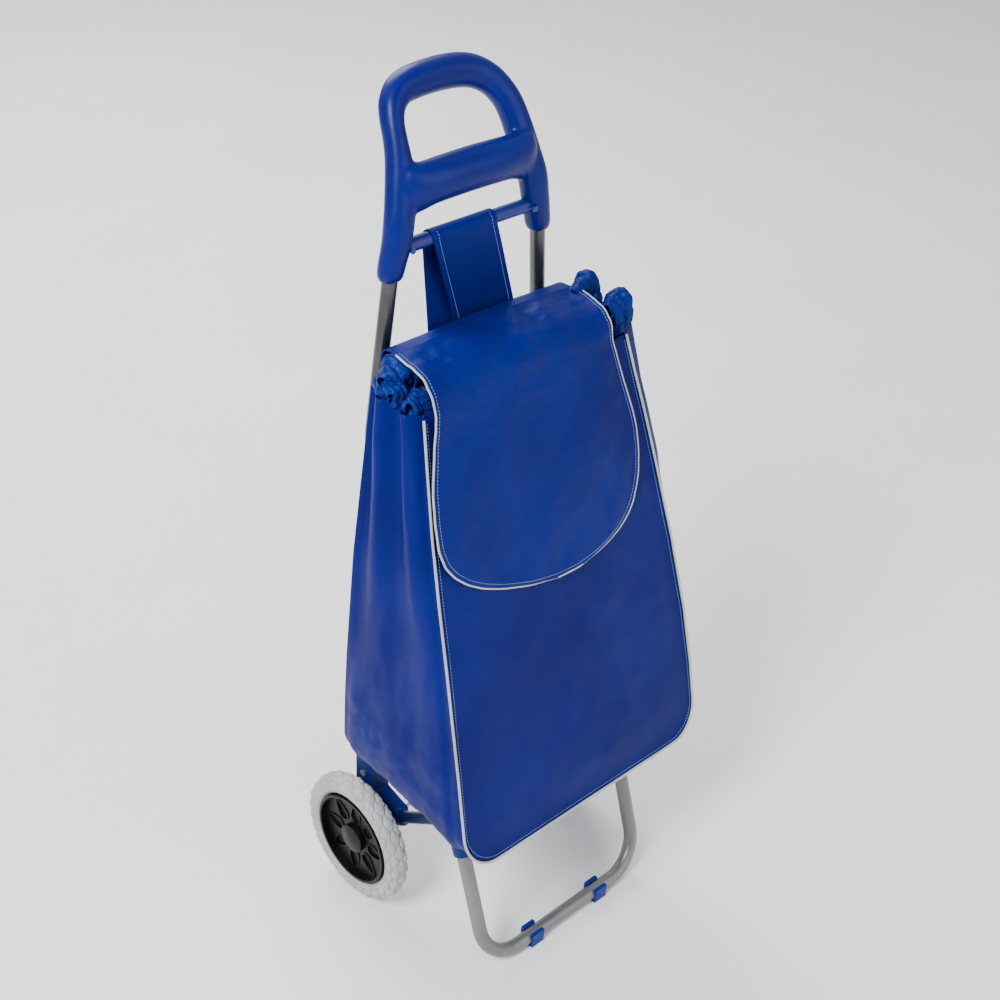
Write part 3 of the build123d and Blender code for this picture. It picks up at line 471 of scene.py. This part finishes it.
def make_handle():
    """Legs, loop and saddle grip grown into one rounded moulding."""
    base, top = handle_low.z / MM, handle_high.z / MM
    lower = [(99.5, base + 1, 0, 19, 17), (99.5, base + 3, 0, 24, 21), (99, base + 9, 0, 27, 24),
             (96, base + 23, 0, 28.5, 25), (92.5, base + 37, 0, 30, 26),
             (88, base + 62, 2, 31.5, 27)]
    right = lower + [(82, base + 85, 8, 32, 27.5), (77, base + 110, 16, 30, 27),
                     (73.5, base + 129, 25, 29, 27), (68, base + 143, 33, 29, 27.5),
                     (56, base + 157, 42.5, 31, 28), (34, top - 20, 49, 33.5, 29)]
    left = lower + [(83, base + 85, 8, 30, 27), (78.5, base + 110, 16, 26, 26),
                    (76.5, base + 129, 24, 22, 24.5), (73.5, base + 145, 33, 22, 24.5),
                    (65, base + 159, 42, 27, 26.5), (46, top - 18.5, 48, 32.5, 28.5)]
    keys = right + [(0, top - 16.5, 51, 34, 29)] + [(-row[0], *row[1:]) for row in left[::-1]]
    loop = swept_body("handle_loop", keys, 240, 2.3)
    half = [(84, base + 86, 7, 36, 14), (78, base + 86, 4, 48, 24), (68, base + 87.5, 2.5, 49, 31),
            (54, base + 89.5, 1.5, 45, 35), (34, base + 91, 0.5, 43.5, 38)]
    keys = half + [(0, base + 91.5, 0.5, 43.5, 38.5)] + [(-row[0], *row[1:]) for row in half[::-1]]
    saddle = swept_body("handle_saddle", keys, 120, 2.1)
    handle = join([loop, saddle], "moulded_handle")
    modifier(handle, "REMESH", "grow", mode="VOXEL", voxel_size=1.9 * MM)
    modifier(handle, "SMOOTH", "blend", factor=0.5, iterations=18)
    apply_modifiers(handle)
    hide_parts("handle")
    on_frame(handle, "handle_plastic")


# ---- wheels -------------------------------------------------------------------------------
RIM_RADIUS = 56 * MM
TREAD_RADIUS = 80                       # in millimetres, as the tread is laid out in them
PADS_ROUND = 26


def tyre_profile(count):
    """Closed section of the tyre: offsets along the axle and radii, starting at the bead."""
    low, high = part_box("tyre_right")
    half = (high.x - low.x) / 2
    outer = (high.z - low.z) / 2
    inner = RIM_RADIUS
    points = []
    for k in range(count):
        c, s = math.sin(TAU * k / count), -math.cos(TAU * k / count)
        reach = (abs(c) ** 3.2 + abs(s) ** 2.6) ** (-1 / 2.9)
        points.append((half * min(1.0, reach) * c, (inner + outer) / 2
                       + (outer - inner) / 2 * min(1.05, reach) * s))
    return points, half, inner, outer


def tread_height(place, over):
    """Height of the tread at a distance round it and over it, in millimetres, never above 0:
    staggered six-sided pads with grooves between them and a small diamond on each."""
    pitch, row_pitch = TAU * TREAD_RADIUS / PADS_ROUND, 10.5
    row = round(over / row_pitch)
    gaps = []
    for r in (row - 1, row, row + 1):
        offset = 0.5 * pitch * (r % 2)
        near = round((place - offset) / pitch)
        for n in (near - 1, near, near + 1):
            du, dv = place - offset - n * pitch, over - r * row_pitch
            gaps.append((math.hypot(du, 1.25 * dv), du, dv))
    gaps.sort()
    groove = (gaps[1][0] - gaps[0][0]) / 2
    diamond = (abs(gaps[0][1]) + abs(gaps[0][2])) / 3.6
    return 1.7 * smoothstep(0.3, 2.4, groove) + 0.8 * smoothstep(1.1, 0.8, diamond) - 2.6


def make_tyre(side):
    """Foam tyre with pads over the tread and shoulders and smooth sides at the rim."""
    name = f"tyre_{side}"
    profile, half, inner, outer = tyre_profile(96)
    low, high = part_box(name)
    middle = (low.x + high.x) / 2
    around = 624
    rows = np.zeros((around, len(profile), 3))
    perimeter = 94.0                    # length of the section's outline, in millimetres
    for i in range(around):
        a = TAU * i / around
        for k, (offset, radius) in enumerate(profile):
            over = (k / len(profile) - 0.5) * perimeter
            zone = smoothstep(33, 28, abs(over))
            lump = 0.3 * wave((math.cos(a) * 0.1, math.sin(a) * 0.1, offset), 0.012, 3)
            relief = (tread_height(TREAD_RADIUS * a, over) * zone + lump) * MM
            deep = radius + relief * smoothstep(inner, outer - 4 * MM, radius)
            wide = offset * (1 + relief / half * 0.9)
            rows[i, k] = (middle + wide, AXLE_Y + deep * math.sin(a), AXLE_Z + deep * math.cos(a))
    tyre = grid_object(f"foam_{name}", rows, wrap_rows=True, wrap_columns=True)
    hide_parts(name)
    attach(dress(tyre, "foam_tyre"), f"wheel_{side}")


# ---- bag ----------------------------------------------------------------------------------
BAG_CLOTH, FLAP_CLOTH, BUNCH_CLOTH = 1.2 * MM, 1.3 * MM, 0.8 * MM          # thicknesses
# half widths at heights, in millimetres
FRONT_HALF = ((198, 173), (240, 175), (308, 169.5), (418, 162), (495, 157.5), (558, 152.5),
              (626, 145), (668, 140), (700, 138))
RIGHT_HALF = ((198, 178), (282, 182), (349, 181), (435, 173.5), (515, 163), (583, 153),
              (628, 145), (672, 138), (700, 136))
BACK_HALF = ((198, 166), (300, 165.5), (354, 164), (482, 157), (565, 148.5), (668, 138),
             (700, 136))


def table_value(rows, z):
    return float(np.interp(z / MM, *zip(*rows))) * MM


def front_y(z):
    return BAG_FRONT + FRONT_SLOPE * (z - BAG_BOTTOM + 5 * MM)


def back_y(z):
    share = (z - BAG_BOTTOM) / (BAG_TOP - BAG_BOTTOM)
    return BAG_BACK - 5 * MM + 1.5 * MM * share


def half_outline(halves, side, plane_y, low, corner, top):
    """Edge of a bag panel from its top down one side and along the bottom to the middle."""
    flat = []
    z = top
    while z > low + corner:
        flat.append((table_value(halves, z), z))
        z -= 3 * MM
    half = table_value(halves, low + corner)
    for k in range(15):
        a = math.pi / 2 * k / 14
        flat.append((half - corner * (1 - math.cos(a)), low + corner * (1 - math.sin(a))))
    count = int((half - corner) / (3 * MM))
    flat += [((half - corner) * (1 - k / count), low) for k in range(1, count + 1)]
    return evened(np.array([(side * x, plane_y(z), z) for x, z in flat]), (U_COUNT + 1) // 2)


def outline(left_halves, right_halves, plane_y, low, corner, top):
    """U-shaped edge of a bag panel: down the left side, along the bottom, up the right."""
    left = half_outline(left_halves, -1, plane_y, low, corner, top)
    right = half_outline(right_halves, 1, plane_y, low, corner, top)
    return np.vstack([left, right[-2::-1]])


RIM_TOP = BAG_TOP + 2 * MM
U_COUNT = 361
front_edge = outline(FRONT_HALF, RIGHT_HALF, front_y, 199 * MM, 40 * MM, RIM_TOP)
back_edge = outline(BACK_HALF, BACK_HALF, back_y, 203 * MM, 42 * MM, RIM_TOP)


def gusset_fold(point, w, height_share):
    """Outward shift of the side, w from front to back: soft upright folds that fade towards
    the bottom, slumped and crumpled cloth low down, and fullness beside the right piping."""
    strength = smoothstep(0.12, 0.95, height_share)
    folds = (3.0 + 8.5 * math.cos(TAU * (w - 0.25) / 0.47)) * strength
    if point[0] > 0:
        near_piping = 20.5 * smoothstep(0.16, 0.62, height_share) \
            * math.exp(-((w - 0.15) / 0.1) ** 2)
        edge = smoothstep(0.0, 0.04, w) * smoothstep(1.0, 0.90, w)
        folds *= 0.4
    else:
        near_piping = -3.5 * math.exp(-((w - 0.07) / 0.035) ** 2)
        edge = smoothstep(0.0, 0.10, w) * smoothstep(1.0, 0.90, w)
    slump = 5.0 * math.exp(-((height_share - 0.13) / 0.16) ** 2)
    ripple = 3.2 * wave((point[0], point[1], point[2] * 0.35), 0.055, 5.0)
    crumple = 2.6 * wave((point[0], point[1] + 0.6 * point[2], point[2]), 0.035, 9.0) \
        * smoothstep(0.42, 0.08, height_share)
    return (folds + slump + ripple + crumple + near_piping) * edge * MM


def make_gusset():
    """One strip sewn round both panels: left side, bottom, right side."""
    across = 61
    rows = np.zeros((U_COUNT, across, 3))
    for i in range(U_COUNT):
        a, b = front_edge[i], back_edge[i]
        tangent = Vector(front_edge[min(i + 1, U_COUNT - 1)] - front_edge[max(i - 1, 0)])
        outward = Vector((0, 1, 0)).cross(tangent).normalized()
        for k in range(across):
            w = k / (across - 1)
            point = a + (b - a) * w
            height_share = (point[2] - BAG_BOTTOM) / (BAG_TOP - BAG_BOTTOM)
            side = smoothstep(0.3, 0.8, abs(outward.x))
            shift = gusset_fold(point, w, height_share) * side
            sag = (1 - side) * 8 * MM * math.sin(math.pi * w)
            rows[i, k] = np.array(point) + np.array(outward) * shift - np.array((0, 0, sag))
    return cloth("bag_gusset", rows, "bag_cloth", BAG_CLOTH, offset=-1)


def panel(name, edge, facing, crown, seed):
    """Front or back panel: a grid inside the U-shaped edge, crowned and softly rumpled."""
    half_count = (U_COUNT - 1) // 2
    columns = 81
    rows = []
    for i in range(half_count + 1):
        left, right = edge[i], edge[-1 - i]
        row = []
        for k in range(columns):
            t = k / (columns - 1)
            point = left + (right - left) * t
            height_share = (point[2] - BAG_BOTTOM) / (BAG_TOP - BAG_BOTTOM)
            inside = min(1.0, 4 * t * (1 - t) * 3) * smoothstep(0, 0.10, height_share)
            rumple = 2.0 * wave((point[0], 0, point[2] * 0.6), 0.11, seed)
            drag = 1.6 * wave((point[0] + 0.5 * point[2], 0, point[2]), 0.06, seed + 4)
            shift = (crown * 4 * t * (1 - t) + rumple + drag) * inside * MM
            row.append(point + np.array((0, facing * shift, 0)))
        rows.append(row)
    return cloth(name, np.array(rows), "bag_cloth", BAG_CLOTH)


def make_board():
    """Stiffener in the bag's bottom: a flat board with rounded corners and a soft edge."""
    low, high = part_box("base_board")
    corner = 34 * MM
    half, front, back = 0.132, BAG_FRONT + 34 * MM, BAG_BACK - 14 * MM
    rim = []
    side, rear, fore = half - corner, back - corner, front + corner
    for cx, cy, start in ((side, rear, 0), (-side, rear, 90), (-side, fore, 180),
                          (side, fore, 270)):
        for k in range(13):
            a = math.radians(start + 90 * k / 12)
            rim.append((cx + corner * math.cos(a), cy + corner * math.sin(a)))
    middle = Vector((0, (front + back) / 2))
    levels = ((0.0, low.z + 0.4 * MM), (0.97, low.z + 0.2 * MM), (1.0, low.z + 0.9 * MM),
              (1.0, high.z - 0.7 * MM), (0.97, high.z), (0.0, high.z - 0.2 * MM))
    rows = np.array([[(middle.x + (x - middle.x) * share, middle.y + (y - middle.y) * share, z)
                      for x, y in rim] for share, z in levels])
    board = grid_object("stiffener_board", rows, wrap_columns=True)
    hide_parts("base_board")
    on_frame(board, "board")


def make_bag():
    gusset = make_gusset()
    front = panel("bag_front_panel", front_edge, -1, 5.0, 2.0)
    back = panel("bag_back_panel", back_edge, 1, -1.0, 11.0)
    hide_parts("bag_body")
    outward = np.array([(math.copysign(1, p[0]) * MM * min(1, abs(p[0]) / 0.1), -1.6 * MM, 0)
                        for p in front_edge])
    piping = tube("bag_piping", resample(front_edge + outward, 3 * MM), 1.4 * MM, 12)
    on_frame(piping, "piping")
    middle = np.array((0, front_y(0.45), 0.45))
    inner = []
    for point in front_edge:
        inward = middle - point
        inward[1] = FRONT_SLOPE * inward[2]
        inner.append(point + inward / np.linalg.norm(inward) * 5 * MM)
    seam = stitches("bag_piping_stitches", np.array(inner) + np.array((0, -1.0 * MM, 0)),
                    lambda p: (0, -1, 0.3))
    on_frame(seam, "thread")


# ---- collar -------------------------------------------------------------------------------
def mouth_path(count, inset):
    """Closed path round the mouth: pulled in between the two folds at each side."""
    front, back = front_y(BAG_TOP), back_y(BAG_TOP)
    half = 137 * MM - inset
    keys = [(0, back - inset), (-0.6 * half, back - inset),
            (-half + 12 * MM, back - 4 * MM - inset),
            (-half, back - 22 * MM), (-half + 22 * MM, (front + back) / 2 + 2 * MM),
            (-half, front + 20 * MM), (-half + 10 * MM, front + 4 * MM + inset),
            (-0.6 * half, front + inset), (0, front + inset)]
    keys += [(-x, y) for x, y in reversed(keys[1:-1])]
    rows = keys + keys[:3]
    path = smooth_path(rows, count * 4)
    path = path[len(path) // (len(rows) - 1):]              # from the second key once round
    half_way = len(path) // 2
    nearest = np.argmin(np.linalg.norm(path[half_way:] - path[0], axis=1))
    ring = np.column_stack([path, np.zeros(len(path))])[:half_way + nearest]
    return evened(np.vstack([ring, ring[:1]]), count + 1)[:-1, :2]


def make_collar():
    """Gathered casing round the mouth: many small pleats, a rolled top and a hem."""
    count = 720
    path = mouth_path(count, 2 * MM)
    low, high = -6, 27                  # hem and rolled top, in millimetres from the rim
    heights = np.linspace(low, high, 24)
    rows = np.zeros((len(heights), count, 3))
    for j, height in enumerate(heights):
        up = (height - low) / (high - low)
        roll = 3.5 * math.sin(math.pi * up) * MM
        for i in range(count):
            before, after = path[i - 1], path[(i + 1) % count]
            d = after - before
            normal = np.array((d[1], -d[0])) / max(np.linalg.norm(d), 1e-9)
            x, y = path[i]
            pleat = wave((x, y, 0.004 * j), 0.0075, 4.0, 2)
            shift = roll + (2.4 * pleat * smoothstep(0, 0.35, up)) * MM
            dip = 2.5 * MM * wave((x, y, 0.0), 0.02, 8.0)
            rows[j, i] = (x - normal[0] * shift, y - normal[1] * shift,
                          BAG_TOP + height * MM + dip * up)
    collar = cloth("gathered_collar", rows, "collar_cloth", 0.9 * MM, wrap_columns=True)
    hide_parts("collar")


OUTSIDE_SHARE = 0.72


def bunch(name, centre, lean_to, height, radius, seed, turns):
    """One bunched fold of the collar: a gathered sleeve end, twisted, with its edge turned in.
    Its outside takes the first share of its levels, the turned-in edge the rest."""
    around, levels = 96, 44
    rows = np.zeros((levels, around, 3))
    for j in range(levels):
        t = j / (levels - 1)
        outside = min(1.0, t / OUTSIDE_SHARE)
        inside = max(0.0, (t - OUTSIDE_SHARE) / 0.28)
        swell = 0.80 + 0.34 * math.sin(math.pi * min(1.0, outside * 0.95) ** 0.8) - 0.2 * outside**3
        swell *= 1 - 0.5 * inside
        rise = height * (outside - 0.42 * inside)
        middle = Vector(centre) + Vector(lean_to) * outside + Vector((0, 0, rise))
        for i in range(around):
            a = TAU * i / around
            twist = a + turns * outside
            gathers = 0.13 * math.cos(5 * twist + seed) * (0.3 + 0.7 * outside)
            gathers += 0.08 * math.cos(9 * twist + 2.3 * seed) + 0.04 * math.cos(17 * a + seed)
            p = Vector((math.cos(a), math.sin(a), 1.1 * t))
            gathers += 0.20 * wave(p, 0.7, seed, 2) * smoothstep(0.05, 0.4, outside)
            reach = radius * swell * (1 + gathers * (1 - 0.4 * inside))
            lift = 0.16 * height * wave(p, 0.8, seed + 5) * outside
            rows[j, i] = middle + Vector((reach * 0.82 * math.cos(a), reach * math.sin(a), lift))
    sleeve = cloth(name, rows, "collar_cloth", BUNCH_CLOTH, wrap_columns=True)


def cloth_loop(name, foot, wide, away, height, reach, width, seed):
    """A loop of the collar's cloth: a teardrop band standing on its gathered foot, seen end-on
    along away, with creases running round it."""
    around, across = 90, 26
    foot, wide, away = Vector(foot), Vector(wide).normalized(), Vector(away).normalized()
    rows = np.zeros((around, across, 3))
    for i in range(around):
        t = i / (around - 1)
        swing = math.sin(TAU * t) * (0.45 + 0.55 * math.sin(math.pi * t))
        rise = (1 - math.cos(TAU * t)) / 2
        spread_here = width * (0.55 + 0.45 * rise)
        out = (wide * (math.sin(TAU * t)) + Vector((0, 0, -math.cos(TAU * t)))).normalized()
        for k in range(across):
            v = k / (across - 1) - 0.5
            p = Vector((1.3 * v, 0.9 * t, 0))
            crease = 1.7 * math.cos(TAU * 3.4 * v + 3.0 * wave(p, 0.5, seed, 2) + seed)
            crease += 3.6 * wave(Vector((v * 1.2, 1.9 * t, 0)), 0.35, seed + 3, 3)
            flare = 1 + 0.5 * v + 0.25 * wave(Vector((v, 2 * t, 0)), 0.6, seed + 8, 2)
            rows[i, k] = (foot + wide * (reach * swing * flare) + away * (spread_here * v)
                          + Vector((0, 0, height * rise * (1 + 0.18 * v))) + out * crease * MM)
    loop = cloth(name, rows, "collar_cloth", BUNCH_CLOTH)


def make_bunches():
    """The bunched folds beside the mouth: fuller and taller on the right."""
    y_rear, y_front = AXLE_Y - 12 * MM, AXLE_Y - 47 * MM
    x = 128 * MM
    bunch("bunch_left_rear", (-x, y_rear, BAG_TOP - 5 * MM), (-3 * MM, 1 * MM, 0), 24 * MM,
          16 * MM, 1.0, 0.5)
    bunch("bunch_left_front", (-x, y_front, BAG_TOP - 20 * MM), (-3 * MM, -1 * MM, 0), 24 * MM,
          12 * MM, 2.6, -0.4)
    bunch("bunch_right_rear", (x - 2 * MM, y_rear, BAG_TOP - 4 * MM), (4 * MM, 3 * MM, 0), 22 * MM,
          14 * MM, 4.2, 0.8)
    bunch("bunch_right_front", (x + 4 * MM, y_front, BAG_TOP - 4 * MM), (5 * MM, -6 * MM, 0),
          22 * MM, 16 * MM, 5.9, -0.7)
    across, along = (0.3, -0.95, 0), (0.95, 0.3, 0)
    loops = (("left_rear", (-x - 5 * MM, y_rear, BAG_TOP + 2 * MM), 28, 13, 30, 1.3),
             ("left_rear_low", (-x - 9 * MM, y_rear - 12 * MM, BAG_TOP - 3 * MM), 21, 9, 22, 7.1),
             ("left_front", (-x - 4 * MM, y_front - 2 * MM, BAG_TOP - 14 * MM), 31, 11, 26, 2.9),
             ("right_rear", (x, y_rear, BAG_TOP + 2 * MM), 43, 12, 34, 4.4),
             ("right_rear_low", (x + 5 * MM, y_rear - 9 * MM, BAG_TOP), 27, 10, 28, 8.2),
             ("right_front", (x + 8 * MM, y_front - 4 * MM, BAG_TOP), 40, 13, 36, 5.6),
             ("right_front_low", (x + 14 * MM, y_front - 8 * MM, BAG_TOP - 2 * MM),
              27, 10, 26, 9.7))
    for name, foot, height, reach, width, seed in loops:
        cloth_loop(f"loop_{name}", foot, across, along, height * MM, reach * MM, width * MM, seed)


# ---- flap, yoke and strap -----------------------------------------------------------------
BEND_REACH = 22 * MM
BEND_ANGLE = math.acos(FRONT_SLOPE / math.hypot(FRONT_SLOPE, 1))
BEND_RADIUS = BEND_REACH / math.tan(BEND_ANGLE / 2)
FLAT_RUN = HINGE.y - FOLD.y - BEND_REACH
DOWN = Vector((0, -FRONT_SLOPE, -1)).normalized()


def flap_line(s):
    """Point and outward normal of the flap's middle line at a distance from the hinge seam."""
    if s < FLAT_RUN:
        return Vector((0, HINGE.y - s, HINGE.z)), Vector((0, 0, 1))
    turn = (s - FLAT_RUN) / BEND_RADIUS
    if turn < BEND_ANGLE:
        centre = Vector((0, FOLD.y + BEND_REACH, FOLD.z - BEND_RADIUS))
        normal = Vector((0, -math.sin(turn), math.cos(turn)))
        return centre + normal * BEND_RADIUS, normal
    rest = s - FLAT_RUN - BEND_RADIUS * BEND_ANGLE
    return FOLD + DOWN * (BEND_REACH + rest), Vector((0, -1, FRONT_SLOPE)).normalized()


# distance from the seam, left edge and right edge; the flap hangs a little to the left
FLAP_EDGES = ((0, -120, 121), (30, -125, 119), (62, -132, 112), (89, -132, 112),
              (131, -141, 121), (165, -149, 129), (192, -152.5, 132), (221, -153, 132),
              (240, -148, 129), (255, -138, 124), (268, -124, 117), (280, -105, 106),
              (290, -82, 92), (298, -56, 72), (303, -35, 54), (307, -14, 34), (309, 0, 18))
FLAP_LENGTH = FLAP_EDGES[-1][0] * MM


def flap_edges(s):
    rows = np.array(FLAP_EDGES, float) * MM
    return float(np.interp(s, rows[:, 0], rows[:, 1])), float(np.interp(s, rows[:, 0], rows[:, 2]))


def seam_crown(u):
    """Height of the seam's arch over the mouth, under the hanging strap."""
    return 4.5 * MM * math.cos(math.pi * min(0.5, abs(u) / 0.27)) ** 2


def flap_point(u, s):
    """A point of the flap and its normal: u across, s along from the seam."""
    base, normal = flap_line(s)
    left, right = flap_edges(s)
    edge = abs(2 * (u - left) / (right - left) - 1)
    low = smoothstep(60 * MM, 180 * MM, s)
    crown = seam_crown(u) / MM * smoothstep(95 * MM, 10 * MM, s)
    curl = -2.0 * smoothstep(0.78, 1.0, edge) * low
    rumple = 2.7 * wave((u, s * 0.7, 0), 0.075, 3.0) * smoothstep(0, 25 * MM, s)
    drag = 2.0 * wave((u * 0.6 + 0.7 * s, s - 0.5 * u, 0), 0.035, 6.0) \
        * smoothstep(190 * MM, 50 * MM, s) * smoothstep(0, 25 * MM, s)
    pull = 3.4 * math.sin(TAU * (u + 0.3 * s) / 0.06) * smoothstep(95 * MM, 25 * MM, s) \
        * smoothstep(0, 15 * MM, s) * (0.5 + 0.5 * wave((u, s, 0), 0.05, 21.0))
    belly = 1.6 * math.sin(math.pi * smoothstep(60 * MM, 300 * MM, s)) * (1 - edge * edge)
    shift = (crown + curl + rumple + drag + pull + belly + 1.7 * low) * MM
    return Vector((u, base.y, base.z)) + normal * shift, normal


def make_flap():
    """Cover flap: one cloth from the seam over the mouth and down the front."""
    along, across = 170, 131
    rows = np.zeros((along, across, 3))
    for i in range(along):
        s = FLAP_LENGTH * i / (along - 1)
        left, right = flap_edges(s)
        for k in range(across):
            rows[i, k] = flap_point(left + (right - left) * k / (across - 1), s)[0]
    flap = grid_object("flap_cloth", rows)
    modifier(flap, "SOLIDIFY", "thickness", thickness=FLAP_CLOTH, offset=0)
    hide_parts("flap_top", "flap_front")
    dress(flap, "flap_cloth")
    sides = [(flap_edges(s), s) for s in np.linspace(2 * MM, FLAP_LENGTH, 260)]
    edge = [(left, s) for (left, _), s in sides] + [(right, s) for (_, right), s in reversed(sides)]
    edge = smoothed([(u, s, 0) for u, s in edge], 6)
    piping = tube("flap_piping", resample([flap_point(u, s)[0] for u, s, _ in edge], 2.5 * MM),
                  1.1 * MM, 12)
    dress(piping, "piping")
    inside = [(-0.010 + (u + 0.010) * 0.966, s - 4.5 * MM * smoothstep(0.2, 0.3, s))
              for u, s, _ in edge]
    lifted = [flap_point(u, s)[0] + flap_point(u, s)[1] * 0.7 * MM for u, s in inside]
    seam = stitches("flap_piping_stitches", lifted, lambda p: (0, -1, 0.3 if p.z < 0.68 else 3))
    dress(seam, "thread")
    for piece in (flap, piping, seam):
        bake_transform(piece)


def make_yoke():
    """Cloth strip from the back of the collar, over its edge, to the flap's seam."""
    low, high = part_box("back_yoke")
    along, across = 60, 90
    path = [Vector((0, high.y, low.z)), Vector((0, high.y - 0.5 * MM, high.z - 16 * MM)),
            Vector((0, high.y - 2 * MM, high.z - 6 * MM)), Vector((0, high.y - 8 * MM, high.z)),
            Vector((0, HINGE.y, HINGE.z + 0.2 * MM)), Vector((0, HINGE.y - 3 * MM, HINGE.z))]
    line = smooth_path([tuple(p) for p in path], along)
    rows = np.zeros((along, across, 3))
    for i, point in enumerate(line):
        half = (118 + 2 * i / along) * MM
        for k in range(across):
            u = half * (2 * k / (across - 1) - 1)
            ripple = 1.3 * MM * wave((u, 0, point[2] * 0.5), 0.03, 12.0) * (1 - i / (along - 1))
            lift = seam_crown(u) * smoothstep(0.2, 0.9, i / (along - 1))
            rows[i, k] = (u, point[1] + ripple, point[2] + 0.4 * ripple + lift)
    yoke = cloth("yoke_cloth", rows, "flap_cloth", BAG_CLOTH)
    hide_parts("back_yoke")


def strap_layer(facing, low_edges, low_y):
    """Points of one strap layer from the top of the crossbar down to the yoke."""
    along, across = 56, 40
    radius = BAR_RADIUS + 1.1 * MM
    low_z = BAG_TOP + 18 * MM
    rows = np.zeros((along, across, 3))
    on_bar = 0.14                       # share of the rows that lie round the crossbar
    for i in range(along):
        t = i / (along - 1)
        if t <= on_bar:
            a = math.pi / 2 * (t / on_bar)
            y = BAR_Y + facing * radius * math.sin(a)
            z = BAR_Z + radius * math.cos(a)
            fall = 0.0
        else:
            fall = (t - on_bar) / (1 - on_bar)
            y = (BAR_Y + facing * radius) * (1 - fall) + low_y * fall
            z = BAR_Z + (low_z - BAR_Z) * fall
        left = (-52 * (1 - fall) + low_edges[0] * fall) * MM
        right = (31 * (1 - fall) + low_edges[1] * fall) * MM
        for k in range(across):
            x = left + (right - left) * k / (across - 1)
            soft = wave((x, facing, z * 0.5), 0.05, 15.0) * math.sin(math.pi * fall)
            rows[i, k] = (x, y + soft * 0.9 * MM, z)
    return rows


def make_strap():
    """Both layers of the hanging loop, with stitched side hems."""
    low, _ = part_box("hanging_strap")
    front = strap_layer(-1, (-18, 64), low.y + 0.8 * MM)
    rear = strap_layer(1, (-54, 30), low.y + 2.8 * MM)
    rows = np.concatenate([front[::-1], rear[1:]])
    strap = cloth("strap_cloth", rows, "strap_cloth", FLAP_CLOTH)
    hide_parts("hanging_strap")
    for name, column in (("left", 3), ("right", -4)):
        line = [Vector(p) + Vector((0, -0.75 * MM, 0.2 * MM)) for p in front[:, column]]
        seam = stitches(f"strap_hem_{name}", line, lambda p: (0, -1, 0.2))
        on_frame(seam, "thread")


# ---- carried-over CAD pieces --------------------------------------------------------------
NODE_MATERIALS = {
    "upright_metal": ("upright_tube_left", "upright_tube_right"),
    "stand_metal": ("foot_tube",),
    "blue_paint": ("crossbar", "rear_brace", "crossbar_screws", "handle_screws"),
    # support arms take the darker copy of the blue paint, which paints in their shade
    "blue_paint_shade_darkened": ("support_arm_left", "support_arm_right"),
    "bright_steel": ("bracket_rivets", "elbow_rivets", "axle", "inner_washers", "outer_washers",
                     "push_nuts"),
    "hub_plastic": ("hub_left", "hub_right", "hub_cap_left", "hub_cap_right"),
    "bracket_plastic": ("corner_bracket_left", "corner_bracket_right", "stand_elbow_left",
                        "stand_elbow_right"),
    "clip_plastic": ("foot_clip_left", "foot_clip_right"),
}


def dress_cad_nodes():
    for material, names in NODE_MATERIALS.items():
        for name in names:
            dress(frame["nodes"][name], material)


# ---- camera, light and floor --------------------------------------------------------------
def make_camera():
    """Camera of the front view: turned to the right, tilted down and slightly rolled."""
    yaw, pitch, roll = (math.radians(a) for a in (46.132, 33.997, -4.392))
    forward = Vector((math.sin(yaw) * math.cos(pitch), math.cos(yaw) * math.cos(pitch),
                      -math.sin(pitch)))
    level = Vector((math.cos(yaw), -math.sin(yaw), 0))
    down = forward.cross(level)
    right = math.cos(roll) * level + math.sin(roll) * down
    lower = -math.sin(roll) * level + math.cos(roll) * down
    data = bpy.data.cameras.new("camera")
    data.lens = 60.37
    data.sensor_width = 36
    camera = bpy.data.objects.new("camera", data)
    turn = Matrix((right, -lower, -forward)).transposed().to_4x4()
    camera.matrix_world = Matrix.Translation((-1.05325, AXLE_Y - 1.05364, 1.49103)) @ turn
    bpy.context.scene.collection.objects.link(camera)
    bpy.context.scene.camera = camera


def area_light(name, place, target, size, power):
    data = bpy.data.lights.new(name, "AREA")
    data.shape = "DISK"
    data.size = size
    data.energy = power
    light = bpy.data.objects.new(name, data)
    light.location = place
    light.rotation_mode = "QUATERNION"
    light.rotation_quaternion = (Vector(target) - Vector(place)).to_track_quat("-Z", "Y")
    bpy.context.scene.collection.objects.link(light)


def make_studio():
    area_light("key", (-2.2, -0.4, 2.6), (0, 0, 0.5), 1.1, 130)
    area_light("fill", (0.9, -2.6, 1.6), (0, 0, 0.4), 2.4, 30)
    area_light("back", (0.6, 2.4, 2.6), (0, 0, 0.3), 2.4, 110)
    world = bpy.data.worlds.new("studio")
    world.use_nodes = True
    background = world.node_tree.nodes["Background"]
    background.inputs["Color"].default_value = (0.97, 0.98, 1.0, 1)
    background.inputs["Strength"].default_value = 0.7
    bpy.context.scene.world = world
    size = 14.0
    corners = [(-size, -size, 0), (size, -size, 0), (size, size, 0), (-size, size, 0)]
    floor = mesh_object("floor", corners, [(0, 1, 2, 3)])
    material, tree, shader = new_material("floor_paint", Roughness=0.7)
    fine = noise_of(tree, object_place(tree), 3.0)
    tree.links.new(ramp(tree, fine, ((0.3, (0.86, 0.86, 0.86)), (0.7, (0.9, 0.9, 0.9)))),
                   shader.inputs["Base Color"])
    floor.data.materials.append(material)


make_camera()
make_studio()
dress_cad_nodes()
make_handle()
for side in ("left", "right"):
    make_tyre(side)
make_board()
make_bag()
make_collar()
make_bunches()
make_flap()
make_yoke()
make_strap()
